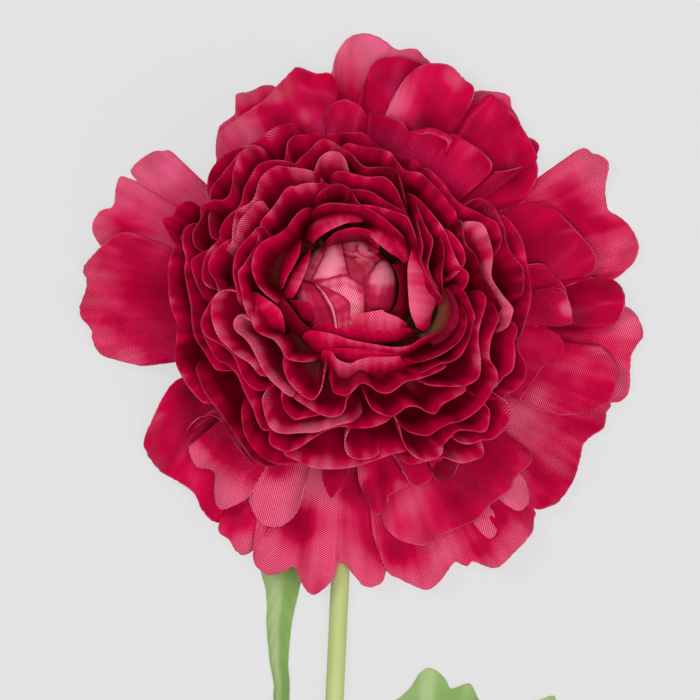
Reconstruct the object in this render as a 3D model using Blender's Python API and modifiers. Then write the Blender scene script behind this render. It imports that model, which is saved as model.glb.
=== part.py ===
"""A single Persian buttercup (ranunculus) made of heat-set fabric, picked and laid on a table.

The bloom lies on its back and faces up (+Z). Its ball of frills leans a little towards +Y,
the skirt of big outer petals droops to the table, and the stem bends just behind the head
and runs along the table towards -Y. Units are metres, and the table is the plane z = 0.

From the bench, outside in: plastic stem with a wire core, a collar with two leaf stalks and
two leaves, a green calyx, a skirt of separate petals, nine die-cut frill layers threaded on
a pin, and a bud of five petals closed round a green core.
"""

import math

import bmesh
import bpy
from mathutils import Matrix, Vector

MM = 0.001

# ---------------------------------------------------------------- driving dimensions
CLOTH = 0.30 * MM            # thickness of the stiffened petal fabric
CLEARANCE = 0.30 * MM        # gap left between pieces that touch

HEAD_LEAN = math.radians(12.0)   # the ball of frills leans towards +Y by this much
BALL_BASE = 18.0 * MM            # height of the lowest frill layer's disc above the table

FRILL_LAYERS = 9
FRILL_PETALS = (5, 5, 6, 6, 6, 7, 7, 7, 8)   # petals cut in each layer, innermost first
FRILL_HUB = 4.0 * MM                         # radius of the uncut disc in the middle of a layer
FRILL_PITCH = 0.9 * MM                       # step from disc to disc along the pin
RIM_INNER, RIM_OUTER = 12.0 * MM, 35.5 * MM  # rim radius of the first and the last layer
RIM_HIGH, RIM_LOW = 28.8 * MM, 8.3 * MM      # rim height of the first and the last layer
SLIT_TURN = math.radians(2.2)                # width of the cut between two petals of a layer

BUD_CENTRE = 19.2 * MM
BUD_RADII = (5.5 * MM, 6.5 * MM, 7.5 * MM, 8.6 * MM, 9.7 * MM)
BUD_HEIGHTS = (7.7 * MM, 8.3 * MM, 8.9 * MM, 9.5 * MM, 10.1 * MM)
BUD_CORE_RADIUS, BUD_CORE_HEIGHT = 4.6 * MM, 7.0 * MM

PIN_RADIUS = 1.1 * MM
PIN_HOLE = 1.5 * MM          # hole in each layer for the pin

SKIRT_BASE = 15.5 * MM       # height at which the lowest skirt petals leave the calyx
SKIRT_START = 6.0 * MM       # distance from the axis at which a skirt petal begins
SKIRT_STEP_BASE = 0.8 * MM   # rise from one skirt level to the next at the calyx
SKIRT_STEP_TIP = 2.6 * MM    # the same at the tips
SKIRT_REACH = 56.0 * MM      # mean radius of the skirt
SKIRT_OFFSET = 3.3 * MM      # the skirt is wider towards SKIRT_WIDE_SIDE by this much
SKIRT_WIDE_SIDE = math.radians(-25.0)
STEM_LIFT = 7.0 * MM         # petals over the stem and leaves end this much higher

CALYX_TOP, CALYX_BOTTOM = -3.1 * MM, -7.5 * MM   # along the head's axis, from BALL_BASE
CALYX_FLANGE, CALYX_NECK = 6.6 * MM, 2.4 * MM

STEM_RADIUS = 1.85 * MM
STEM_BORE = 1.00 * MM
WIRE_RADIUS = 0.60 * MM
STEM_LEAD = 1.5 * MM         # straight stretch between the calyx and the bend
STEM_BEND = 9.0 * MM         # radius of the bend behind the head
COLLAR_LENGTH, COLLAR_WALL = 7.0 * MM, 0.5 * MM
COLLAR_BORE = STEM_RADIUS + 0.45 * MM
STALK_RADIUS = 0.75 * MM
STALK_SLANT = math.radians(50.0)
LEAF_THICKNESS = 0.40 * MM
LEAF_START = 3.0 * MM        # a blade begins this far from the point that its sides aim at

# Points that the stem's centre line passes, in millimetres, from the bend to the cut end.
STEM_ROUTE = ((0.3, -28.0, 2.25), (-0.9, -52.0, 2.05), (-2.1, -78.0, 2.30), (-3.4, -104.0, 2.84),
              (-3.8, -110.0, 2.84), (-5.3, -150.0, 2.20), (-7.3, -196.0, 1.90))
COLLAR_POINT = 3             # the collar sits between this route point and the next

# Skirt petals: bearing and half width in degrees, reach in millimetres, grouped by level.
SKIRT = (
    ((152.0, 18.5, 52.0), (118.0, 11.0, 48.5), (84.0, 11.0, 55.5), (49.0, 13.0, 54.0),
     (20.0, 14.0, 59.5), (351.0, 10.5, 59.5), (327.0, 12.5, 57.0), (297.0, 16.5, 59.0),
     (265.0, 14.5, 57.0), (243.5, 6.5, 53.0), (220.0, 16.0, 49.5)),
    ((178.0, 18.5, 53.5), (102.0, 12.0, 50.0), (77.0, 6.0, 52.0), (48.0, 13.0, 51.0),
     (18.0, 13.5, 50.5), (356.0, 8.0, 55.0), (337.0, 10.0, 54.0), (304.0, 18.0, 48.0),
     (250.0, 9.0, 45.5), (231.0, 9.0, 46.0)),
    ((66.0, 9.5, 53.0), (90.0, 9.0, 42.0), (217.0, 10.0, 40.0), (284.0, 8.0, 42.0),
     (4.0, 7.0, 44.5), (346.0, 10.0, 44.5)),
)

# Bud petals, inside out: bearing and half width in degrees, and how near the top they close.
BUD_PETALS = ((90.0, 75.0, 24.0), (215.0, 70.0, 26.0), (130.0, 70.0, 34.0), (265.0, 65.0, 42.0),
              (5.0, 62.0, 38.0))

# Leaves: base point in millimetres, then each lobe's bearing, half width and length.
LEAF_WEB = 0.80              # the blade is whole out to this share of its lobes' length
LEAVES = {
    "leaf_left": ((-12.0, -97.0), ((91.0, 2.2, 60.0), (94.2, 2.6, 64.0), (97.6, 2.2, 58.0))),
    "leaf_right": ((15.0, -104.0), ((87.0, 10.0, 32.0), (71.0, 9.0, 30.6), (45.5, 10.0, 37.6),
                                    (105.0, 10.0, 25.5))),
}

COLOURS = {
    "petal": (0.52, 0.012, 0.075, 1.0),
    "petal_back": (0.62, 0.07, 0.16, 1.0),
    "bud": (0.60, 0.06, 0.14, 1.0),
    "leaf": (0.27, 0.40, 0.13, 1.0),
    "stem": (0.48, 0.56, 0.22, 1.0),
    "wire": (0.35, 0.35, 0.34, 1.0),
}


# ---------------------------------------------------------------- scene and helpers
def clear_scene():
    for thing in list(bpy.data.objects):
        bpy.data.objects.remove(thing, do_unlink=True)


def make_material(name, colour, roughness, metallic=0.0):
    material = bpy.data.materials.new(name)
    material.use_nodes = True
    shader = material.node_tree.nodes["Principled BSDF"]
    shader.inputs["Base Color"].default_value = colour
    shader.inputs["Roughness"].default_value = roughness
    shader.inputs["Metallic"].default_value = metallic
    return material


def add_piece(name, mesh, material, parent, thickness=0.0):
    """Put a mesh in the flower's collection, with its cloth thickness as a modifier."""
    piece = bpy.data.objects.new(name, mesh)
    FLOWER.objects.link(piece)
    piece.parent = parent
    mesh.materials.append(material)
    mesh.shade_smooth()
    mesh.set_sharp_from_angle(angle=math.radians(40.0))
    if thickness:
        wall = piece.modifiers.new("thickness", "SOLIDIFY")
        wall.thickness = thickness
        wall.offset = 0.0
        wall.use_even_offset = True
    return piece


def grid_mesh(name, columns, rows, place, keep=None, seam=False):
    """Map a flat grid to a surface. place(i, j) gives the point of column i and row j."""
    bm = bmesh.new()
    bmesh.ops.create_grid(bm, x_segments=columns, y_segments=rows, size=0.5)
    if keep is not None:
        spare = [face for face in bm.faces
                 if not keep(int((face.calc_center_median().x + 0.5) * columns),
                             int((face.calc_center_median().y + 0.5) * rows))]
        bmesh.ops.delete(bm, geom=spare, context="FACES")
    for vertex in bm.verts:
        column = round((vertex.co.x + 0.5) * columns)
        row = round((vertex.co.y + 0.5) * rows)
        vertex.co = place(column, row)
    if seam:
        bmesh.ops.remove_doubles(bm, verts=bm.verts, dist=0.01 * MM)
    bmesh.ops.recalc_face_normals(bm, faces=bm.faces)
    mesh = bpy.data.meshes.new(name)
    bm.to_mesh(mesh)
    bm.free()
    return mesh


def smoothstep(x):
    x = min(max(x, 0.0), 1.0)
    return x * x * (3.0 - 2.0 * x)


def bezier(p0, p1, p2, p3, t):
    s = 1.0 - t
    return p0 * s ** 3 + p1 * 3.0 * s * s * t + p2 * 3.0 * s * t * t + p3 * t ** 3


# ---------------------------------------------------------------- ball of frills
def frill_profile(layer, t):
    """Radius and height of a frill layer's middle surface, from its hub (t = 0) to its rim."""
    outness = (layer - 1) / (FRILL_LAYERS - 1)
    rim = Vector((RIM_INNER + (RIM_OUTER - RIM_INNER) * outness ** 0.97,
                  RIM_HIGH + (RIM_LOW - RIM_HIGH) * outness ** 2.2))
    hub = Vector((FRILL_HUB, 0.6 * MM + FRILL_PITCH * (FRILL_LAYERS - layer)))
    rise = math.radians(80.0 - 50.0 * outness ** 1.2)
    belly = 0.62 * (rim.x - hub.x) + 2.2 * MM * (1.0 - outness)
    reach = 0.42 * (rim - hub).length
    point = bezier(hub, hub + Vector((belly, 0.0)),
                   rim - reach * Vector((math.cos(rise), math.sin(rise))), rim, t)
    return point.x, point.y


def make_frill(layer, material, parent):
    """A rosette cut from one piece of cloth: a disc with a hole, and petals between slits."""
    petals = FRILL_PETALS[layer - 1]
    across = 3
    rows = 4
    columns = petals * (across + 1)
    petal_turn = 2.0 * math.pi / petals

    def place(i, j):
        petal, step = divmod(i, across + 1)
        angle = (petal + 0.37 * layer) * petal_turn + SLIT_TURN
        angle += step * (petal_turn - SLIT_TURN) / across
        side = 2.0 * step / across - 1.0
        if j == 0:
            radius, height = PIN_HOLE, frill_profile(layer, 0.0)[1]
        else:
            rounding = 1.0 - 0.07 * side ** 4
            radius, height = frill_profile(layer, rounding * (j - 1) / (rows - 1))
        return Vector((radius * math.cos(angle), radius * math.sin(angle), height))

    def keep(i, j):
        return j == 0 or i % (across + 1) != across

    mesh = grid_mesh(f"frill_layer_{layer:02d}", columns, rows, place, keep, seam=True)
    add_piece(mesh.name, mesh, material, parent, CLOTH)


# ---------------------------------------------------------------- bud
def make_bud_petal(number, bearing, half_width, top, material, parent):
    radius, height = BUD_RADII[number - 1], BUD_HEIGHTS[number - 1]
    columns, rows = 5, 6

    def place(i, j):
        across = 2.0 * i / columns - 1.0
        end = math.radians(top + 16.0 * across ** 2)
        start = math.pi - math.asin(2.0 * MM / radius)
        polar = start + (end - start) * j / rows
        narrow = 1.0 - 0.25 * (j / rows) ** 3
        turn = math.radians(bearing + half_width * across * narrow)
        ring = radius * math.sin(polar)
        return Vector((ring * math.cos(turn), ring * math.sin(turn),
                       BUD_CENTRE + height * math.cos(polar)))

    mesh = grid_mesh(f"bud_petal_{number}", columns, rows, place)
    add_piece(mesh.name, mesh, material, parent, CLOTH)


def make_bud_core(material, parent):
    bm = bmesh.new()
    bmesh.ops.create_uvsphere(bm, u_segments=12, v_segments=8, radius=1.0)
    stretch = Matrix.Diagonal((BUD_CORE_RADIUS, BUD_CORE_RADIUS, BUD_CORE_HEIGHT, 1.0))
    bmesh.ops.transform(bm, matrix=Matrix.Translation((0.0, 0.0, BUD_CENTRE)) @ stretch,
                        verts=bm.verts)
    mesh = bpy.data.meshes.new("bud_core")
    bm.to_mesh(mesh)
    bm.free()
    add_piece("bud_core", mesh, material, parent)


# ---------------------------------------------------------------- skirt of outer petals
def stem_side(bearing):
    """1 straight above the stem and leaves, falling to 0 on the sides that rest on the table."""
    away = abs((bearing - 1.5 * math.pi + math.pi) % (2.0 * math.pi) - math.pi)
    return 1.0 - smoothstep((away - math.radians(30.0)) / math.radians(40.0))


def skirt_height(level, radius, bearing):
    """Height of a skirt level's middle surface; the levels never cross."""
    edge = SKIRT_REACH + SKIRT_OFFSET * math.cos(bearing - SKIRT_WIDE_SIDE)
    outness = min((radius - SKIRT_START) / (edge - SKIRT_START), 1.0)
    base = SKIRT_BASE + SKIRT_STEP_BASE * level
    tip = 0.52 * CLOTH + SKIRT_STEP_TIP * level + STEM_LIFT * stem_side(bearing)
    lean = radius * math.tan(HEAD_LEAN) * math.sin(bearing) * (1.0 - outness) ** 2
    return base + (tip - base) * smoothstep(outness) - lean


def make_skirt_petal(number, level, bearing, half_width, reach, material, parent):
    columns, rows = 4, 5

    def place(i, j):
        across = 2.0 * i / columns - 1.0
        along = j / rows
        tip = reach * MM * (1.0 - 0.08 * across ** 4)
        radius = SKIRT_START + (tip - SKIRT_START) * along
        spread = math.radians(half_width) * (1.0 - 0.12 * along ** 6) - 0.25 * MM / radius
        turn = math.radians(bearing) + spread * across
        return Vector((radius * math.cos(turn), radius * math.sin(turn),
                       skirt_height(level, radius, turn)))

    mesh = grid_mesh(f"outer_petal_{number:02d}", columns, rows, place)
    add_piece(mesh.name, mesh, material, parent, CLOTH)


# ---------------------------------------------------------------- calyx and pin
def make_calyx(material, parent):
    """A turned cup with a through hole: its profile spins round the head's axis."""
    hole = PIN_RADIUS + CLEARANCE
    profile = ((hole, CALYX_TOP), (CALYX_FLANGE, CALYX_TOP),
               (CALYX_FLANGE - 0.3 * MM, CALYX_TOP - 0.7 * MM),
               (0.5 * (CALYX_FLANGE + CALYX_NECK), 0.45 * (CALYX_TOP + CALYX_BOTTOM)),
               (CALYX_NECK, CALYX_BOTTOM), (hole, CALYX_BOTTOM))
    bm = bmesh.new()
    corners = [bm.verts.new((radius, 0.0, height)) for radius, height in profile]
    for first, second in zip(corners, corners[1:] + corners[:1]):
        bm.edges.new((first, second))
    mesh = bpy.data.meshes.new("calyx")
    bm.to_mesh(mesh)
    bm.free()
    piece = add_piece("calyx", mesh, material, parent)
    turn = piece.modifiers.new("turn", "SCREW")
    turn.axis = "Z"
    turn.steps = 16
    turn.render_steps = 16
    turn.use_merge_vertices = True
    turn.merge_threshold = 0.01 * MM


def make_pin(material, parent):
    top = BUD_CENTRE - BUD_CORE_HEIGHT - CLEARANCE
    depth = top - CALYX_BOTTOM
    bm = bmesh.new()
    bmesh.ops.create_cone(bm, cap_ends=True, segments=10, radius1=PIN_RADIUS,
                          radius2=PIN_RADIUS, depth=depth)
    bmesh.ops.translate(bm, verts=bm.verts, vec=(0.0, 0.0, top - 0.5 * depth))
    mesh = bpy.data.meshes.new("head_pin")
    bm.to_mesh(mesh)
    bm.free()
    add_piece("head_pin", mesh, material, parent)


# ---------------------------------------------------------------- stem, wire and collar
def smooth_route(points, steps):
    """Catmull-Rom curve through the points, with a number of steps for each stretch."""
    padded = [points[0] * 2.0 - points[1], *points, points[-1] * 2.0 - points[-2]]
    route = []
    for k in range(len(points) - 1):
        before, start, end, after = padded[k:k + 4]
        leave, arrive = (end - before) / 6.0, (after - start) / 6.0
        route += [bezier(start, start + leave, end - arrive, end, step / steps[k])
                  for step in range(steps[k])]
    return route + [points[-1]]


def stem_line():
    """Centre line of the stem: a bend below the calyx, then the run along the table."""
    axis = Vector((0.0, math.sin(HEAD_LEAN), math.cos(HEAD_LEAN)))
    head = Vector((0.0, 0.0, BALL_BASE)) + axis * (CALYX_BOTTOM - CLEARANCE)
    bend = []
    turn_total = 0.5 * math.pi - HEAD_LEAN
    bend_start = head - STEM_LEAD * axis
    centre = bend_start - STEM_BEND * Vector((0.0, math.cos(HEAD_LEAN), -math.sin(HEAD_LEAN)))
    for step in range(7):
        turn = HEAD_LEAN + turn_total * step / 6
        bend.append(centre + STEM_BEND * Vector((0.0, math.cos(turn), -math.sin(turn))))
    run = [bend[-1]] + [Vector(point) * MM for point in STEM_ROUTE]
    steps = [3, 3, 3, 3, 2, 3, 3]
    return [head, *bend[:-1], *smooth_route(run, steps)]


def tube(name, line, radius, material, caps, sides=2, wall=0.0):
    """A tube along a line; open and hollow when it has a wall, or solid with filled caps."""
    data = bpy.data.curves.new(name + "_line", "CURVE")
    data.dimensions = "3D"
    data.bevel_depth = radius
    data.bevel_resolution = sides
    data.use_fill_caps = caps
    spline = data.splines.new("POLY")
    spline.points.add(len(line) - 1)
    for target, point in zip(spline.points, line):
        target.co = (*point, 1.0)
    guide = bpy.data.objects.new(name + "_line", data)
    FLOWER.objects.link(guide)
    bpy.context.view_layer.update()
    evaluated = guide.evaluated_get(bpy.context.evaluated_depsgraph_get())
    mesh = bpy.data.meshes.new_from_object(evaluated)
    mesh.name = name
    bm = bmesh.new()
    bm.from_mesh(mesh)
    bmesh.ops.remove_doubles(bm, verts=bm.verts, dist=0.001 * MM)
    bm.to_mesh(mesh)
    bm.free()
    mesh.materials.clear()
    bpy.data.objects.remove(guide, do_unlink=True)
    piece = add_piece(name, mesh, material, FRAME)
    if wall:
        thickness = piece.modifiers.new("wall", "SOLIDIFY")
        thickness.thickness = wall
        thickness.offset = -1.0
        thickness.use_even_offset = True
    return piece


# ---------------------------------------------------------------- leaves
def leaf_reach(lobes, bearing):
    """Length of the blade along a bearing: the nearest lobe's, on top of the web it grows from."""
    reach = LEAF_WEB * min(length for _, _, length in lobes)
    for centre, half_width, length in lobes:
        offset = min(abs(bearing - centre) / half_width, 1.0)
        rounded = (1.0 - offset ** 2.2) ** 0.5
        reach = max(reach, length * (LEAF_WEB + (1.0 - LEAF_WEB) * rounded) if rounded else 0.0)
    return reach * MM


def make_leaf(name, base, lobes, material, parent):
    first = min(centre - half_width for centre, half_width, _ in lobes)
    last = max(centre + half_width for centre, half_width, _ in lobes)
    columns, rows = 22, 3

    def place(i, j):
        bearing = first + (last - first) * i / columns
        radius = LEAF_START + (leaf_reach(lobes, bearing) - LEAF_START) * j / rows
        turn = math.radians(bearing)
        return Vector((base[0] * MM + radius * math.cos(turn),
                       base[1] * MM + radius * math.sin(turn), 0.52 * LEAF_THICKNESS))

    mesh = grid_mesh(name, columns, rows, place)
    add_piece(name, mesh, material, parent, LEAF_THICKNESS)


def make_stalk(name, base, lobes, collar, material):
    """A thin stalk that slants off the collar's side and ends just short of the blade."""
    side = math.copysign(1.0, base[0])
    slant = Vector((side * math.sin(STALK_SLANT), math.cos(STALK_SLANT), 0.0))
    beside = COLLAR_BORE + COLLAR_WALL + CLEARANCE + STALK_RADIUS * math.cos(STALK_SLANT)
    start = collar + Vector((side * beside, 0.0, 0.0))
    middle_lobe = math.radians(lobes[0][0])
    way = Vector((math.cos(middle_lobe), math.sin(middle_lobe), 0.0))
    end = Vector((base[0] * MM, base[1] * MM, STALK_RADIUS)) + way * (LEAF_START - 2.0 * CLEARANCE)
    swing = 0.4 * (end - start).length
    line = [bezier(start, start + slant * swing, end - way * swing, end, t / 8)
            for t in range(9)]
    tube(name, line, STALK_RADIUS, material, caps=True, sides=1)


# ---------------------------------------------------------------- place on the table
def underside_middle():
    """The middle of the flower's box, at the height of its lowest point."""
    bpy.context.view_layer.update()
    graph = bpy.context.evaluated_depsgraph_get()
    points = []
    for piece in FLOWER.objects:
        if piece.type == "MESH":
            shape = piece.evaluated_get(graph)
            points += [shape.matrix_world @ vertex.co for vertex in shape.data.vertices]
    low = Vector([min(point[axis] for point in points) for axis in range(3)])
    high = Vector([max(point[axis] for point in points) for axis in range(3)])
    return Vector((0.5 * (low.x + high.x), 0.5 * (low.y + high.y), low.z))


# ---------------------------------------------------------------- build
clear_scene()
FLOWER = bpy.data.collections.new("persian_buttercup")
bpy.context.scene.collection.children.link(FLOWER)

FRAME = bpy.data.objects.new("flower_frame", None)
HEAD = bpy.data.objects.new("head_frame", None)
for empty in (FRAME, HEAD):
    FLOWER.objects.link(empty)
HEAD.parent = FRAME
HEAD.location = (0.0, 0.0, BALL_BASE)
HEAD.rotation_euler = (-HEAD_LEAN, 0.0, 0.0)

petal_cloth = make_material("petal_cloth", COLOURS["petal"], 0.55)
back_cloth = make_material("petal_cloth_back", COLOURS["petal_back"], 0.55)
bud_cloth = make_material("bud_cloth", COLOURS["bud"], 0.50)
leaf_cloth = make_material("leaf_cloth", COLOURS["leaf"], 0.60)
stem_plastic = make_material("stem_plastic", COLOURS["stem"], 0.45)
wire_steel = make_material("wire_steel", COLOURS["wire"], 0.40, 1.0)

for layer_number in range(1, FRILL_LAYERS + 1):
    make_frill(layer_number, petal_cloth, HEAD)

for petal_number, (side_bearing, spread, crown) in enumerate(BUD_PETALS, 1):
    make_bud_petal(petal_number, side_bearing, spread, crown, bud_cloth, HEAD)
make_bud_core(stem_plastic, HEAD)
make_calyx(stem_plastic, HEAD)
make_pin(stem_plastic, HEAD)

petal_number = 0
for level_number, petals_of_level in enumerate(SKIRT):
    cloth = back_cloth if level_number == 0 else petal_cloth
    for side_bearing, spread, length in petals_of_level:
        petal_number += 1
        make_skirt_petal(petal_number, level_number, side_bearing, spread, length, cloth, FRAME)

centre_line = stem_line()
tube("stem", centre_line, STEM_RADIUS, stem_plastic, caps=False, wall=STEM_RADIUS - STEM_BORE)
tube("stem_wire", centre_line, WIRE_RADIUS, wire_steel, caps=True, sides=1)

collar_start, collar_end = (Vector(STEM_ROUTE[COLLAR_POINT + k]) * MM for k in (0, 1))
collar_way = (collar_end - collar_start).normalized()
collar_centre = 0.5 * (collar_start + collar_end)
collar_line = [collar_centre + collar_way * COLLAR_LENGTH * step for step in (-0.5, 0.5)]
tube("leaf_collar", collar_line, COLLAR_BORE + COLLAR_WALL, stem_plastic,
     caps=False, sides=3, wall=COLLAR_WALL)

for leaf_name, (leaf_base, leaf_lobes) in LEAVES.items():
    make_leaf(leaf_name, leaf_base, leaf_lobes, leaf_cloth, FRAME)
    make_stalk(leaf_name + "_stalk", leaf_base, leaf_lobes, collar_centre, stem_plastic)

FRAME.location = -underside_middle()
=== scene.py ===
# %% [markdown]
# # A fabric Persian buttercup
#
# The flower is a made one: a ball of frilled satin petals around a tight bud, a skirt of
# broad petals beneath it, a bare plastic stem and a pair of cloth leaves. The frame already
# holds every piece as a plain solid at its real size and place. This script loads that
# frame and dresses it: each petal becomes a thin sheet of twill with waves, curls and a
# frayed cut edge.

import math

import bmesh
import bpy
import numpy as np
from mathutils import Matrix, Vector


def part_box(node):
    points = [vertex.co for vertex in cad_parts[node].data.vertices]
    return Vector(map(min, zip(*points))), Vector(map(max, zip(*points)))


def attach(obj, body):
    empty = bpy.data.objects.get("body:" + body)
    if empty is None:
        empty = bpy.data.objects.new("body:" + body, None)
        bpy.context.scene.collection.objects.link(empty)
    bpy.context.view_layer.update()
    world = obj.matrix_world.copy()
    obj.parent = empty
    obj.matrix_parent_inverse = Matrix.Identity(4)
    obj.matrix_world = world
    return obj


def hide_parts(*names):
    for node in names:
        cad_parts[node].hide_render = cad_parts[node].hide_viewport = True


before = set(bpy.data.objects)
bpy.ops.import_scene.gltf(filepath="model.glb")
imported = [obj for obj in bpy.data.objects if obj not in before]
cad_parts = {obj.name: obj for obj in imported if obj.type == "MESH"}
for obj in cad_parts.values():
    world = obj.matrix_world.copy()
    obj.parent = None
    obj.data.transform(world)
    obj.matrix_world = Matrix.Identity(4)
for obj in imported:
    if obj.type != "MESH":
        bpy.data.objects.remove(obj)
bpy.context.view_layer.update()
print("nodes in the frame:", len(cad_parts))

# %% [markdown]
# ## Where things are
#
# The head leans a little towards +Y, because the wire in its neck springs back. Everything
# in the head turns about one axis, so two points are worked out first: the middle of the
# bud, which the frame knows, and from it the root of the head and the place where the
# flower's axis meets the table. Lengths are in metres, and one millimetre is named MM.

# %% The head's axis
MM = 0.001
HEAD_LEAN = math.radians(12.0)
BUD_HEIGHT = 19.2 * MM      # from the head's root to the middle of the bud
HEAD_HEIGHT = 18.0 * MM     # from the table to the head's root
AXIS = Vector((0.0, math.sin(HEAD_LEAN), math.cos(HEAD_LEAN)))

low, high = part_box("bud_core")
bud_middle = (low + high) / 2
head_root = bud_middle - AXIS * BUD_HEIGHT
seat = head_root - Vector((0.0, 0.0, HEAD_HEIGHT))
print("head root, mm:", [round(c / MM, 2) for c in head_root])


def from_head(across, along, up):
    """Turns places in the leaning head's own frame into places in the world."""
    cos, sin = math.cos(HEAD_LEAN), math.sin(HEAD_LEAN)
    return np.stack([head_root.x + across,
                     head_root.y + along * cos + up * sin,
                     head_root.z - along * sin + up * cos], axis=-1)


# %% [markdown]
# ## Camera, light and table
#
# The flower lies on its back petals with its face up, so the camera hangs above it and
# looks straight down, far off with a long lens, which keeps near and far petals at one
# scale. Two soft panels give the satin its sheen: a strong one at the upper left and a
# weaker one at the lower right. A broad panel overhead, a fill from the right and an even
# surround keep the shadows open. Those three are left out of the reflections, because they
# would wash the cloth's colour out. The table glows a little, as a light table does, so
# that the flower stands on clean pale grey.

# %% The camera
VIEW_WIDTH = 140.0 * MM
CAMERA_HEIGHT = 2.0
CAMERA_SHIFT = Vector((1.0, -8.0, 12.0)) * MM       # from above the seat to above the flower's middle
SENSOR = 36.0
camera = bpy.data.objects.new("camera", bpy.data.cameras.new("camera"))
camera.data.sensor_width = SENSOR
camera.data.lens = SENSOR * CAMERA_HEIGHT / VIEW_WIDTH
camera.location = Vector((seat.x, seat.y, CAMERA_HEIGHT)) + CAMERA_SHIFT
bpy.context.scene.collection.objects.link(camera)
bpy.context.scene.camera = camera
print("lens, mm:", round(camera.data.lens, 1))

# %% The lights
WORLD_STRENGTH = 0.26
LIGHTS = (
    # name, place, width, power in watts, and whether it shows in reflections
    ("key", (-0.42, 0.30, 0.95), 0.30, 3.2, True),
    ("second", (0.42, -0.40, 0.95), 0.30, 1.3, True),
    ("overhead", (0.05, -0.10, 2.40), 1.10, 31.0, False),
    ("fill", (0.60, -0.50, 0.80), 0.60, 2.8, False),
)
for name, place, width, power, glossy in LIGHTS:
    light = bpy.data.lights.new(name, "AREA")
    light.size = width
    light.energy = power
    lamp = bpy.data.objects.new(name, light)
    lamp.location = place
    lamp.rotation_euler = (seat - Vector(place)).to_track_quat("-Z", "Y").to_euler()
    lamp.visible_glossy = glossy
    bpy.context.scene.collection.objects.link(lamp)
world = bpy.data.worlds.new("studio")
world.use_nodes = True
world.node_tree.nodes["Background"].inputs["Color"].default_value = (1.0, 1.0, 1.0, 1.0)
world.node_tree.nodes["Background"].inputs["Strength"].default_value = WORLD_STRENGTH
world.cycles_visibility.glossy = False
bpy.context.scene.world = world
bpy.context.scene.view_settings.view_transform = "Standard"
print("lights:", len(LIGHTS))

# %% The table
TABLE_HALF = 1.5
TABLE_GREY = (0.12, 0.12, 0.12, 1.0)
TABLE_ROUGHNESS = 0.9
TABLE_GLOW = 0.62
table_top = bpy.data.materials.new("table_top")
table_top.use_nodes = True
shader = table_top.node_tree.nodes["Principled BSDF"]
shader.inputs["Base Color"].default_value = TABLE_GREY
shader.inputs["Roughness"].default_value = TABLE_ROUGHNESS
shader.inputs["Emission Color"].default_value = (1.0, 1.0, 1.0, 1.0)
shader.inputs["Emission Strength"].default_value = TABLE_GLOW
bm = bmesh.new()
bmesh.ops.create_grid(bm, x_segments=1, y_segments=1, size=TABLE_HALF)
table_mesh = bpy.data.meshes.new("table")
bm.to_mesh(table_mesh)
bm.free()
table_mesh.materials.append(table_top)
table = bpy.data.objects.new("table", table_mesh)
bpy.context.scene.collection.objects.link(table)
print("table, m across:", 2 * TABLE_HALF)

# %% [markdown]
# ## The petal cloth
#
# The petals are die-cut from a twill satin and pressed hot, so each is one smooth sheet with a fine diagonal
# rib. The rib has to follow the cloth into every fold, so each petal carries a UV map that holds its flat
# pattern in metres, and the material draws ribs about four tenths of a millimetre apart on it. Four numbers
# ride on the points as well: how faded the dye is together with painted light and shade, how green the root
# is, how near the cut edge is, which is pale from fray and from a painted highlight, and how strongly the
# weave shows.

# %% Nodes in short
def link(tree, source, target):
    tree.links.new(source, target)


def math_node(tree, operation, first, second=None, third=None):
    node = tree.nodes.new("ShaderNodeMath")
    node.operation = operation
    for socket, value in zip(node.inputs, (first, second, third)):
        if value is None:
            continue
        if isinstance(value, (int, float)):
            socket.default_value = value
        else:
            link(tree, value, socket)
    return node.outputs[0]


def mix_colour(tree, factor, first, second, blend="MIX"):
    node = tree.nodes.new("ShaderNodeMix")
    node.data_type = "RGBA"
    node.blend_type = blend
    node.clamp_factor = True
    for socket, value in ((node.inputs["Factor"], factor), (node.inputs[6], first),
                          (node.inputs[7], second)):
        if isinstance(value, (int, float)):
            socket.default_value = value
        elif isinstance(value, tuple):
            socket.default_value = (*value, 1.0)
        else:
            link(tree, value, socket)
    return node.outputs[2]


def noise(tree, coordinates, scale, detail=2.0):
    node = tree.nodes.new("ShaderNodeTexNoise")
    node.inputs["Scale"].default_value = scale
    node.inputs["Detail"].default_value = detail
    link(tree, coordinates, node.inputs["Vector"])
    return node.outputs["Fac"]


def attribute(tree, name):
    node = tree.nodes.new("ShaderNodeAttribute")
    node.attribute_name = name
    return node.outputs["Fac"]


# %% The twill
RIB_PITCH = 0.38 * MM
RIB_HEIGHT = 0.035 * MM
RIB_WANDER = 1.2            # how far a rib strays from its straight line, in radians of a turn
WANDER_SCALE = 220.0        # noise scales are per metre
print("ribs in a centimetre:", round(10 * MM / RIB_PITCH))


def twill(tree, flat, weave):
    """Ribs from 0 to 1 across the flat pattern. Where the weave is 0 they rest at a half."""
    split = tree.nodes.new("ShaderNodeSeparateXYZ")
    link(tree, flat, split.inputs[0])
    wander = math_node(tree, "MULTIPLY", noise(tree, flat, WANDER_SCALE), RIB_WANDER)
    turns = math_node(tree, "MULTIPLY_ADD", split.outputs["X"], 2 * math.pi / RIB_PITCH, wander)
    wave = math_node(tree, "MULTIPLY_ADD", math_node(tree, "SINE", turns), 0.5, 0.5)
    return math_node(tree, "MULTIPLY_ADD", math_node(tree, "SUBTRACT", wave, 0.5), weave, 0.5)
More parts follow.
